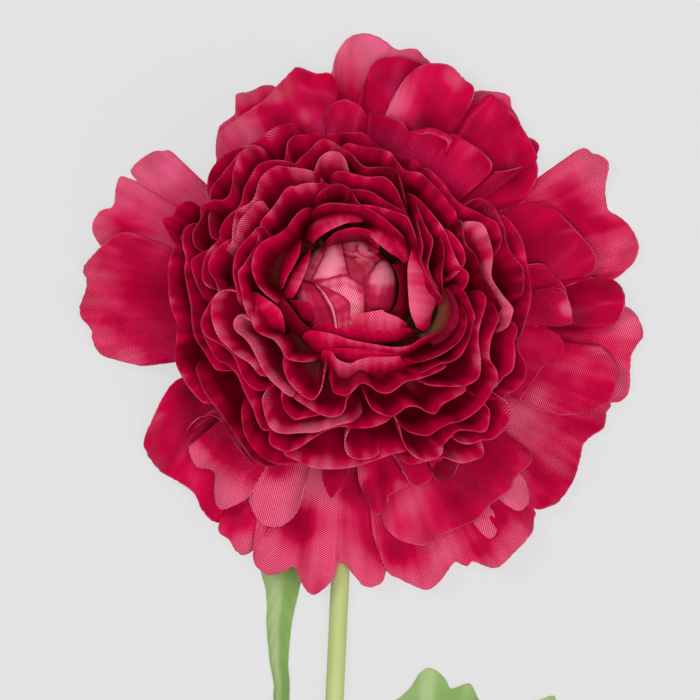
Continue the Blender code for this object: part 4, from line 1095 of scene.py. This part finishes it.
# %% Washed-out spots, and spots of painted light and shade
# Each is a place in millimetres from the flower's axis, a size, and how much paler the cloth is there; a spot
# below zero is richer instead. Some are washed-out dye, and others are painted light and shade, such as the
# darker cloth in the ball's shadow.
WASH_AND_LIGHT_SPOTS = {
    1: ((-45, 24, 7, 0.1), (-35, 29, 4, 0.25), (-42, 17, 4, -0.2)),
    2: ((-22, 43, 4, 0.3), (-17, 39, 4, -0.6)),
    3: ((14, 51, 3, 0.5), (1, 50, 5, 0.3), (7, 50, 4, 0.35), (11, 43, 4, -0.3)),
    4: ((29, 43, 4, 0.4), (35, 27, 5, -0.6)),
    5: ((55, 14, 5, 0.35), (50, 28, 5, 0.35), (46, 18, 4, -0.2), (36, 27, 4, -0.5), (51, 9, 3, 0.4)),
    6: ((56.5, -2.5, 3.5, 0.45), (54.5, -10.5, 3, 0.3), (54.5, -15, 3, 0.4)),
    7: ((42, -22, 7, 0.25), (34, -21, 4, 0.7), (36, -26, 4, 0.35), (42, -32, 4, 0.3), (34, -36, 5, 0.4),
        (50, -27, 4, -0.4)),
    8: ((11, -48, 4, -0.7), (20.5, -48.5, 3, 0.4), (27, -48, 3, -0.2), (31, -42, 4, -0.4),
        (34, -43, 3, 0.3), (32, -50, 3, 0.3)),
    9: ((8, -47, 4, -0.5), (-9, -43, 4, -0.7), (-6, -33, 4, 0.9), (-2, -40, 3, 0.3), (-5, -50, 4, 0.2),
        (2, -36, 3, -0.2), (-15, -47, 4, 0.4)),
    10: ((-20, -47, 3, 0.5), (-21.5, -41, 3, -0.5)),
    11: ((-30, -17, 6, -0.5), (-24, -27, 5, -0.6), (-38, -22, 3, 0.3)),
    12: ((-38, 8, 6, -0.2), (-36, -4, 5, -0.3), (-48, 4, 5, 0.35), (-45, -9, 5, 0.35), (-43, 14, 4, -0.2),
         (-46, -2, 3, -0.4)),
    13: ((-14, 38.5, 3.5, -0.5), (-19, 35, 3, 0.3), (-22, 38, 3, 0.2), (-7.5, 39, 2.5, 0.6),
         (-13.5, 42, 2.5, 0.4), (-8.5, 44.5, 3, 0.25)),
    15: ((28, 33, 5, 0.25), (34, 28, 4, -0.2), (28.5, 39.5, 2.5, 0.5), (20, 36, 3, 0.35)),
    18: ((38.5, -17, 3, 0.6), (44, -13, 4, 0.3), (48, -18, 4, -0.2), (52, -8, 4, 0.2)),
    19: ((14, -38, 5, 0.35), (24, -35, 6, -0.3), (32, -31, 3, -0.2)),
    20: ((-13, -38, 4, 0.3), (-13, -32, 3, -0.7)),
    21: ((-19, -32, 4, -0.5), (-25, -25, 4, -0.7), (-23, -36.5, 3.5, 0.4), (-29.5, -28.5, 2.5, 0.5)),
    22: ((15.5, 37, 4, -0.8), (22, 38, 4, -0.4), (10.5, 41, 4, 0.6), (19, 43.5, 3, -0.35),
         (22, 46, 2.5, 0.3)),
    25: ((4, -33, 2, 0.7), (10.5, -35, 2, 0.6), (7, -33, 3, -0.5), (7, -38, 3, -0.3)),
}
print("spots:", sum(len(spots) for spots in WASH_AND_LIGHT_SPOTS.values()))

# %% [markdown]
# ## Fallen frills
#
# Some petals of the outermost cup have dropped onto the skirt, so they are laid as skirt
# petals are. Their outlines are in millimetres from the flower's axis, and their level
# says how high in the skirt they lie.

# %% The fallen petals
FALLEN = (
    # level, outline, fade with painted light and shade from its first side to its last, and any spots, of
    # washed-out dye and of painted light and shade
    (3.2, ((-4.4, -30.5), (-4.3, -34.5), (-3, -37.6), (-1.6, -36.5), (-0.2, -34), (0.3, -30.5)),
     (-0.4, -0.5)),
    (2.9, ((9, -28), (11.8, -32.5), (13.2, -34.8), (15.5, -34.8), (17.8, -33), (19.2, -30.3), (19, -27)),
     (0.3, 0.0)),
    (2.6, ((16, -28), (17.8, -33.4), (19.5, -33.9), (21.2, -33.4), (22.6, -31), (22.8, -28)),
     (-0.6, -0.6)),
    (3.0, ((4.7, 39.5), (8.5, 38.7), (11.5, 37.6), (13, 35.6), (16.8, 36.1), (19.8, 34.4), (21.4, 35.3),
           (24.4, 33.8), (27.4, 31.6), (29.3, 29.3), (29, 27.6), (27, 25.5), (23.5, 23.5), (20, 21.5)),
     (-0.15, -0.15)),
    (0.5, ((29.8, -36), (31.2, -38.1), (34.6, -40.3), (36.4, -39.2), (37, -37.4), (36.4, -34.8),
           (34.8, -32.6), (32, -31)), (0.75, 0.75)),
    (0.3, ((25, -40), (25.9, -42.8), (28.6, -45.7), (30.3, -44.8), (30.2, -42.5), (29.6, -40.3),
           (27.5, -38.5)), (0.7, 0.6)),
    (2.7, ((41.5, 4.6), (43.6, 3.9), (45.1, 0.8), (45.5, -2.4), (44.2, -3), (42, -3.3), (38, -3.2)),
     (-0.2, -0.1), (44.6, 0.2, 1.9, 1.2)),
)
print("fallen petals:", len(FALLEN))

# %% [markdown]
# ## The nine cups and the skirt
#
# Each cup of frills is one rosette of cloth on the real flower, so its petals are joined
# in one piece. The skirt's petals are pieces of their own. The random numbers start from a
# fixed seed, so that every run makes the same flower.

# %% The nine cups
FALLEN_WAVES = 0.4, 1.2
random = np.random.RandomState(7)
cups = {layer: [] for layer in range(1, LAYERS + 1)}
for layer, rim, fade_and_light, rim_light, *lift in FRILLS:
    cups[round(layer)].append(frill_petal(layer, rim, random, fade_and_light, rim_light, *lift))
for layer, crest, foot, crest_up, foot_up, fade_and_light, *green in CLOSED:
    cups[layer].append(closed_petal(crest, foot, crest_up, foot_up, random, fade_and_light, *green))
for level, points, fade_and_light, *spots in FALLEN:
    slant = random.rand() * math.pi
    rim = np.array(points) * MM
    cups[LAYERS].append(skirt_petal(level, rim, random, fade_and_light, FALLEN_WAVES, slant, spots=spots))
for layer, sheets in cups.items():
    cloth_piece(f"frill_{layer:02d}", sheets, petal_cloth, [f"frill_layer_{layer:02d}"])
    print("cup", layer, "petals", len(sheets))

# %% The skirt petals
random = np.random.RandomState(11)
for number, (level, pairs, fade_and_light) in SKIRT.items():
    strength, way = WEAVE[number]
    one = skirt_petal(level, outline(pairs), random, fade_and_light, slant=math.radians(way), weave=strength,
                      spots=WASH_AND_LIGHT_SPOTS.get(number, ()))
    cloth, slot = petal_cloth, "petal_cloth"
    if number in BACK_ROW:
        cloth, slot = back_petal_cloth, "back_petal_cloth"
    cloth_piece(f"petal_{number:02d}", [one], cloth, [f"outer_petal_{number:02d}"])
print("skirt petals made:", len(SKIRT))

# %% [markdown]
# ## The bud
#
# The bud is a ball of small petals wrapped over each other. Each is a patch of a sphere between two edges, a
# little further out than the petal it lies on, so their edges make thin steps, and painted shade along those
# edges makes the thin dark creases. An edge is a few points in millimetres from the flower's axis.

# %% Bud petals
BUD_SPHERE = 9.9 * MM
BUD_ROWS, BUD_COLS = 30, 36
BUD_FACE = 0.97             # past this share of the sphere's reach an edge turns under
FACE_TILT = 1.325           # the tilt there, in radians
UNDER_TURN = 4.0
BUD_EDGE = 0.6
CREASE_SHADE_DEPTH, CREASE_SHARPNESS = 0.8, 7.0
HIGHLIGHT_SIZE = 0.4
BUD_BANDS = 0.15


def on_sphere(points, count):
    """Directions from the bud's middle to an edge's points; beyond its outline they turn under."""
    line = smooth_line(points, count) * MM
    dx = line[:, 0] + seat.x - bud_middle.x
    dy = line[:, 1] + seat.y - bud_middle.y
    far = np.hypot(dx, dy) / BUD_SPHERE
    tilt = np.where(far < BUD_FACE, np.arcsin(np.minimum(far, BUD_FACE)),
                    FACE_TILT + (far - BUD_FACE) * UNDER_TURN)
    bearing = np.arctan2(dy, dx)
    return np.stack([np.sin(tilt) * np.cos(bearing), np.sin(tilt) * np.sin(bearing), np.cos(tilt)], axis=1)


def middle_length(places):
    return np.linalg.norm(np.diff(places, axis=0), axis=1).sum()


def bud_petal(first, second, scale, random, fade_and_light, green, puff, wrinkles, painted_highlight):
    """A patch between two edges. green tints its second edge, or its first when negative."""
    a, b = on_sphere(first, BUD_COLS), on_sphere(second, BUD_COLS)
    way = a + (b - a) * np.linspace(0.0, 1.0, BUD_ROWS)[:, None, None]
    way = way / np.linalg.norm(way, axis=2, keepdims=True)
    u, v = np.linspace(-1, 1, BUD_COLS)[None, :], np.linspace(-1, 1, BUD_ROWS)[:, None]
    swell = (1 - u ** 4) * (1 - v ** 4)
    phase = random.rand(2) * 6.28
    wrinkle = np.sin(2.5 * u + 2.0 * v + phase[0]) * np.sin(3.0 * v - 1.5 * u + phase[1])
    reach = BUD_SPHERE * (scale + puff * swell + wrinkles * wrinkle)
    places = np.array(bud_middle) + way * reach[:, :, None]
    slant = random.uniform(0.2, 1.4)
    x = u * middle_length(places[BUD_ROWS // 2]) / 2
    y = v * middle_length(places[:, BUD_COLS // 2]) / 2
    to_edge = 1.0 - np.maximum(np.abs(u), np.abs(v))
    # Painted shade along the patch's edges, for the dark creases between petals.
    crease_shade = -CREASE_SHADE_DEPTH * np.clip(1.0 - to_edge * CREASE_SHARPNESS, 0.0, 1.0)
    side = v if green > 0 else -v
    root = abs(green) * np.clip(0.3 + 0.9 * side, 0.0, 1.0)
    # A painted highlight on the patch.
    highlight_u, highlight_v, amount = painted_highlight
    pale = amount * np.exp(-((u - highlight_u) ** 2 + (v - highlight_v) ** 2) / HIGHLIGHT_SIZE)
    bands = BUD_BANDS * (streaks(x, 6.0 * slant, (5.0, 2.3)) + streaks(y, 9.0 * slant, (4.0, 1.9)))
    return sheet(places, slanted(x, y, slant), fade_and_light=fade_and_light + crease_shade + pale + bands, root=root,
                 edge=np.where(to_edge < 0.001, BUD_EDGE, 0.0))


# %% The bud's petals, edge by edge
BUD = {
    # first edge, second edge, then scale, fade with painted light and shade, green, puff, wrinkles, (where
    # its painted highlight lies, how much)
    1: (
        (((-0.6, 11.6), (0, 8.6), (0.8, 6.4), (3.8, 4.4)),
         ((2.2, 11.8), (4.6, 11.2), (7.2, 9.6), (5.6, 6.4)),
         0.935, 0.05, -0.1, 0.0, 0.02, (-0.2, 0.5, 0.3)),
        (((-1.2, 13.9), (-0.4, 11.2), (1, 10.2), (2.6, 10.6)),
         ((-1.4, 15), (1, 15.2), (3, 14.2)),
         0.95, 0.1, 0.0, 0.0, 0.04, (0.0, 0.0, 0.3)),
    ),
    2: (
        (((-2.8, 14.1), (-3.4, 12.4), (-4.8, 9), (-6.9, 5.3)),
         ((-4.6, 14.6), (-8.6, 11), (-9.9, 5.2)),
         0.955, -0.05, 0.0, 0.0, 0.01, (0.0, -0.2, 0.45)),
        (((-3.1, 14.1), (-3.7, 12.4), (-5.1, 9), (-7.1, 5.2)),
         ((-0.9, 14), (-0.2, 11.2), (0.5, 8.6), (1.1, 6.4)),
         0.975, 0.0, 0.0, 0.03, 0.01, (0.3, 0.0, 1.9)),
    ),
    3: (
        (((2.1, 13.3), (2.5, 11.6), (4.6, 10.2), (6.8, 9.2)),
         ((2.4, 14.3), (5, 14.6), (7.4, 12.4), (8.4, 9.6)),
         0.965, -0.1, 0.0, 0.03, 0.03, (-0.2, -0.6, 0.6)),
        (((3.1, 12.9), (4, 11.7), (6.2, 10.8)),
         ((3.6, 13.6), (5.6, 13.2), (7, 11.2)),
         1.0, -0.3, 0.0, 0.02, 0.03, (0.4, 0.3, 0.8)),
    ),
    4: (
        (((-7.2, 5.1), (-3, 6.3), (-0.2, 6.9), (1.4, 6.2), (3.8, 4.8)),
         ((-5, -4.4), (-1.8, -5.2), (1, -5.4), (3.9, -5)),
         0.985, 0.2, 1.0, 0.01, 0.01, (0.3, -0.4, 0.5)),
        (((-5.4, 5), (-1.8, 3.4), (0.2, 2.2), (1.0, 0.6), (0.6, -4.6)),
         ((-5.5, 4.7), (-3.4, 2.6), (-2, 0), (-1.2, -4.6)),
         1.015, -0.15, 0.0, 0.01, 0.01, (-0.2, 0.0, 0.35)),
        (((-5.6, 5.1), (-3.6, 2.9), (-2.1, 0), (-1.3, -4.6)),
         ((-5.7, 5.0), (-3.8, 2.7), (-2.4, -0.3), (-1.6, -4.7)),
         1.02, 0.7, 0.0, 0.0, 0.0, (0.0, 0.0, 0.3)),
        (((-5.8, 5), (-4, 2.4), (-2.5, -0.5), (-1.8, -4.8)),
         ((-9.9, 6.4), (-10, 1), (-7, -4)),
         1.0, -0.5, 0.0, 0.03, 0.01, (-0.3, -0.2, 0.5)),
    ),
    5: (
        (((6.8, 9.6), (5.2, 7.8), (4, 5.4), (3.6, 2.2), (3.7, -1.4)),
         ((8.8, 10.5), (11.4, 5), (9.0, -3)),
         1.005, -0.6, 0.0, 0.04, 0.01, (-0.35, -0.5, 1.5)),
    ),
}
random = np.random.RandomState(3)
for number, patches in BUD.items():
    sheets = [bud_petal(first, second, scale, random, *rest) for first, second, scale, *rest in patches]
    cloth_piece(f"bud_{number}", sheets, bud_cloth, [f"bud_petal_{number}"])
print("bud petals:", len(BUD))

# %% [markdown]
# ## The stem and its fittings
#
# The stem is an extruded plastic tube, matt and a little uneven in colour, with a wire
# down its bore. A collar holds two thin stalks that carry the leaves. Each is a tube drawn
# along the line that the frame's part follows, with its seam turned to the table.

# %% Plastic
GRAIN_SCALE = 420.0
GRAIN_STRETCH = 0.12        # along the stem, which runs along Y
GRAIN_SHARE, GRAIN_LEVEL = 1.8, -0.5
GRAIN_HEIGHT = 0.05 * MM
GRAIN_RELIEF = 0.5
PLASTIC_SPECULAR = 0.35


def plastic_material(name, colour, pale, roughness=0.45, metallic=0.0):
    """Two tones that run along the piece in soft streaks."""
    material = bpy.data.materials.new(name)
    material.use_nodes = True
    tree = material.node_tree
    shader = tree.nodes["Principled BSDF"]
    stretch = tree.nodes.new("ShaderNodeMapping")
    stretch.inputs["Scale"].default_value = (1.0, GRAIN_STRETCH, 1.0)
    link(tree, tree.nodes.new("ShaderNodeTexCoord").outputs["Object"], stretch.inputs["Vector"])
    grain = noise(tree, stretch.outputs[0], GRAIN_SCALE, 3.0)
    tone = math_node(tree, "MULTIPLY_ADD", grain, GRAIN_SHARE, GRAIN_LEVEL)
    link(tree, mix_colour(tree, tone, colour, pale), shader.inputs["Base Color"])
    link(tree, math_node(tree, "MULTIPLY_ADD", grain, 0.2, roughness - 0.1), shader.inputs["Roughness"])
    link(tree, bumped(tree, grain, GRAIN_HEIGHT, GRAIN_RELIEF), shader.inputs["Normal"])
    shader.inputs["Specular IOR Level"].default_value = PLASTIC_SPECULAR
    shader.inputs["Metallic"].default_value = metallic
    print(name, "nodes:", len(tree.nodes))
    return material


stem_plastic = plastic_material("stem_plastic", (0.40, 0.48, 0.150), (0.52, 0.58, 0.27))
wire_steel = plastic_material("wire_steel", (0.30, 0.30, 0.29), (0.42, 0.42, 0.41), 0.40, 1.0)


# %% Tubes along a line
TUBE_SIDES = 28


def tube_sheet(line, radius):
    """A round tube about a line in the world, its seam underneath."""
    line = np.array(line)
    way = np.gradient(line, axis=0)
    way = way / np.linalg.norm(way, axis=1, keepdims=True)
    beside = (0.0, 0.0, 1.0) if abs(way[:, 0]).max() > 0.8 else (1.0, 0.0, 0.0)
    right = beside - way * np.sum(beside * way, axis=1, keepdims=True)
    right = right / np.linalg.norm(right, axis=1, keepdims=True)
    up = np.cross(right, way)
    up = up * math.copysign(1.0, up[-1, 2])
    turn = np.linspace(-0.5 * math.pi, 1.5 * math.pi, TUBE_SIDES)
    ring = right[:, None] * np.cos(turn)[:, None] + up[:, None] * np.sin(turn)[:, None]
    along = np.append(0.0, np.cumsum(np.linalg.norm(np.diff(line, axis=0), axis=1)))
    flat = np.stack(np.broadcast_arrays(turn * radius, along[:, None]), axis=-1)
    return sheet(line[:, None] + ring * radius, flat)


def tube_piece(name, line, radius, wall, replaced):
    """A tube of stem plastic with a wall that lies inside its radius."""
    tube = tube_sheet(line, radius - wall / 2)
    return cloth_piece(name, [tube], stem_plastic, replaced, thickness=wall)


# %% The stem
CALYX_BOTTOM = -7.5 * MM
GAP = 0.3 * MM
STEM_LEAD, STEM_BEND = 1.5 * MM, 9.0 * MM
STEM_RADIUS, STEM_BORE = 1.85 * MM, 1.0 * MM
STEM_ROUTE = ((0.3, -28.0, 2.25), (-0.9, -52.0, 2.05), (-2.1, -78.0, 2.30), (-3.4, -104.0, 2.84),
              (-3.8, -110.0, 2.84), (-5.3, -150.0, 2.20), (-7.3, -196.0, 1.90))
head_end = head_root + AXIS * (CALYX_BOTTOM - GAP)
bend_centre = head_end - AXIS * STEM_LEAD - Vector((0.0, AXIS.z, -AXIS.y)) * STEM_BEND
bend = [bend_centre + Vector((0.0, math.cos(turn), -math.sin(turn))) * STEM_BEND
        for turn in np.linspace(HEAD_LEAN, math.pi / 2, 7)]
route = [seat + Vector(point) * MM for point in STEM_ROUTE]
stem_line = smooth_line([tuple(point) for point in [head_end, *bend, *route]], 220)
tube_piece("stem_tube", stem_line, STEM_RADIUS, STEM_RADIUS - STEM_BORE, ["stem"])
print("stem, mm:", round(float(run_length(stem_line)) / MM, 1))

# %% The collar
COLLAR_LENGTH, COLLAR_WALL = 7.0 * MM, 0.5 * MM
COLLAR_RADIUS = STEM_RADIUS + 0.95 * MM
collar_middle = (route[3] + route[4]) / 2
collar_way = (route[4] - route[3]).normalized() * COLLAR_LENGTH
collar_line = [tuple(collar_middle + collar_way * step) for step in np.linspace(-0.5, 0.5, 12)]
tube_piece("collar_tube", collar_line, COLLAR_RADIUS, COLLAR_WALL, ["leaf_collar"])
print("collar, mm:", round(COLLAR_LENGTH / MM, 1))

# %% The leaf stalks
STALK_RADIUS = 0.75 * MM
STALK_WALL = 0.7 * STALK_RADIUS
STALK_SLANT = math.radians(50.0)
LEAF_START = 3.0 * MM
LEAF_BASES = {
    # where a leaf starts, in millimetres, and its bearing there
    "leaf_left": ((-12.0, -97.0), 91.0),
    "leaf_right": ((15.0, -104.0), 87.0),
}
for name, (base, aim) in LEAF_BASES.items():
    side = math.copysign(1.0, base[0])
    slant = Vector((side * math.sin(STALK_SLANT), math.cos(STALK_SLANT), 0.0))
    beside = COLLAR_RADIUS + GAP + STALK_RADIUS * math.cos(STALK_SLANT)
    start = collar_middle + Vector((side * beside, 0.0, 0.0))
    way = Vector((math.cos(math.radians(aim)), math.sin(math.radians(aim)), 0.0))
    end = seat + Vector((base[0] * MM, base[1] * MM, STALK_RADIUS)) + way * (LEAF_START - 2.0 * GAP)
    swing = 0.4 * (end - start).length
    line = [tuple(bezier(t, start, start + slant * swing, end - way * swing, end))
            for t in np.linspace(0, 1, 24)]
    tube_piece(name + "_stalk_tube", line, STALK_RADIUS, STALK_WALL, [name + "_stalk"])
    print(name, "stalk, mm:", round(float(run_length(line)) / MM, 1))

# %% [markdown]
# ## Pieces kept from the frame
#
# The wire in the stem, the moulded calyx, the pin that threads the rosettes and the green
# core of the bud hardly show. They could be drawn again, but their plain solids in the
# frame have the right shape already, so they only take a material.

# %% A material for each
for name, material in (("stem_wire", wire_steel), ("calyx", stem_plastic), ("head_pin", stem_plastic),
                       ("bud_core", stem_plastic)):
    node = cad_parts[name]
    node.data.materials.clear()
    node.data.materials.append(material)
    print(name, "takes", material.name)

# %% [markdown]
# ## The leaves
#
# The leaves are cut from green cloth and pressed over a rib, so each has a raised midrib
# and a paler band beside it. They lie on the table. A leaf is a grid between its two
# edges, with its rows running from the stalk to the tip.

# %% Leaf cloth
leaf_cloth = cloth_material("leaf_cloth", (0.195, 0.325, 0.080), (0.365, 0.465, 0.215), (0.18, 0.28, 0.10),
                            (0.40, 0.49, 0.25), deep=(0.095, 0.185, 0.038), roughness=0.55, rib=0.05,
                            gloss=(1.0, 1.0, 1.0), relief=0.3)
LEAF_THICKNESS = 0.25 * MM
LEAF_LIFT = 0.35 * MM       # from the table to the leaf's lowest edge
LEAF_WEAVE = 0.35
LEAF_SLANT = 0.4
LEAF_EDGE = 0.5


def leaf_blade(name, base, x, y, height, fade_and_light, edge):
    """A leaf from its grid, which is measured from its base."""
    places = np.stack([seat.x + base[0] + x, seat.y + base[1] + y, seat.z + LEAF_LIFT + height], axis=-1)
    flat = np.stack([x + LEAF_SLANT * y, y - LEAF_SLANT * x], axis=-1)
    blade = sheet(places, flat, fade_and_light=fade_and_light, edge=edge, weave=LEAF_WEAVE)
    cloth_piece(name + "_blade", [blade], leaf_cloth, [name], thickness=LEAF_THICKNESS)
    print(name, "points:", x.size)


# %% The left leaf
LEFT_EDGE = ((-12.3, -94), (-12.7, -90), (-13.5, -84), (-14.4, -78), (-14.3, -75.3), (-15, -71.6),
             (-15.4, -68.1), (-15.8, -63), (-15.7, -59.3), (-16, -56.1), (-16.9, -52.6), (-18, -47),
             (-18.2, -42), (-17, -38.5), (-14.4, -36.4))
RIGHT_EDGE = ((-11.7, -94), (-11.5, -90), (-11.1, -84), (-11.2, -78), (-11.1, -75.3), (-11.4, -71.6),
              (-11.2, -67.6), (-10.7, -63), (-9.9, -59.3), (-9, -55.3), (-7.6, -51), (-6.8, -46),
              (-7.4, -42), (-10, -38), (-13.6, -36.4))
MIDRIB = 0.46               # where the midrib runs, from 0 at the left edge to 1 at the right
LEFT_ROWS, LEFT_COLS = 90, 36
VEINS, VEIN_SLANT = 14.0, 1.4
VEIN_HEIGHT = 0.10 * MM
CAMBER = 0.16               # how high the midrib stands, as a share of the leaf's width
BAND_PLACE, BAND_WIDTH, BAND_PALE = 0.62, 0.18, 0.7     # the paler band beside the midrib
a, b = smooth_line(LEFT_EDGE, LEFT_ROWS) * MM, smooth_line(RIGHT_EDGE, LEFT_ROWS) * MM
u = np.linspace(0.0, 1.0, LEFT_COLS)[None, :]
v = np.linspace(0.0, 1.0, LEFT_ROWS)[:, None]
side = np.where(u < MIDRIB, u / MIDRIB, (1.0 - u) / (1.0 - MIDRIB))
width = np.linalg.norm(b - a, axis=1)[:, None]
height = CAMBER * width * smoothstep(side) + 0.5 * MM * np.sin(3.0 * v + 1.0) ** 2
veins = VEIN_HEIGHT * np.sin(2 * math.pi * (v * VEINS - side * VEIN_SLANT)) * smoothstep(width / (6 * MM))
pale_band = BAND_PALE * np.exp(-((u - BAND_PLACE * MIDRIB) / BAND_WIDTH) ** 2)
fade_and_light = 0.1 + pale_band - 0.25 * smoothstep((u - MIDRIB) / 0.1)
edge = np.where((u < 0.001) | (u > 0.999) | (v > 0.999), LEAF_EDGE, 0.0)
leaf_blade("leaf_left", (0.0, 0.0), a[:, :1] + (b - a)[:, :1] * u, a[:, 1:] + (b - a)[:, 1:] * u,
           height + veins * (1.0 - side) ** 0.5, fade_and_light, edge)

# %% The right leaf
# Its outline is in bearings and reaches from its base, and each of its lobes has a vein.
RIGHT_LEAF = ((33, 24), (36, 28), (39, 32), (42, 36.4), (44.2, 37.9), (46, 36.2), (48, 33.4), (51, 30.4),
              (55, 27.8), (60, 28.3), (63, 28), (66, 28.6), (69, 30.1), (71.3, 30.6), (74.5, 29.4),
              (77.5, 28.6), (80, 30.2), (83.5, 31.6), (87, 32.1), (90, 31), (92, 29.4), (94, 28.1),
              (98.3, 26.5), (101, 26), (105, 25.6), (110, 24), (114, 20))
LOBE_VEINS = 46.0, 69.5, 87.0, 105.0
FOLD_HEIGHT, FOLD_WIDTH = 1.6 * MM, 5.0     # the fold along a vein, its width in degrees
RIGHT_ROWS, RIGHT_COLS = 40, 110
RIGHT_FRAY = 0.01
rim = smooth_line(outline(RIGHT_LEAF), RIGHT_COLS)
bearing = np.degrees(np.arctan2(rim[:, 1], rim[:, 0]))
start = LEAF_START * rim / np.linalg.norm(rim, axis=1, keepdims=True)
t = rows_to_rim(RIGHT_ROWS, RIGHT_FRAY)[:, None]
near = np.min([np.abs(bearing - vein) for vein in LOBE_VEINS], axis=0)
fold = np.exp(-(near / FOLD_WIDTH) ** 2)
height = FOLD_HEIGHT * fold * smoothstep(t * 1.4) * (1.15 - t) + 0.4 * MM * np.sin(7 * t) ** 2 * t
fade_and_light = -0.15 + 0.5 * np.exp(-((near - 1.2) / 2.2) ** 2) + 0.25 * smoothstep((bearing - 80.0) / 6.0)
leaf_blade("leaf_right", np.array(LEAF_BASES["leaf_right"][0]) * MM, start[:, 0] + (rim - start)[:, 0] * t,
           start[:, 1] + (rim - start)[:, 1] * t, height, fade_and_light, np.where(t > 0.999, LEAF_EDGE, 0.0))

# %% A helper that rounds a box's corners
def corners(box):
    return [[round(c, 6) for c in corner] for corner in box]
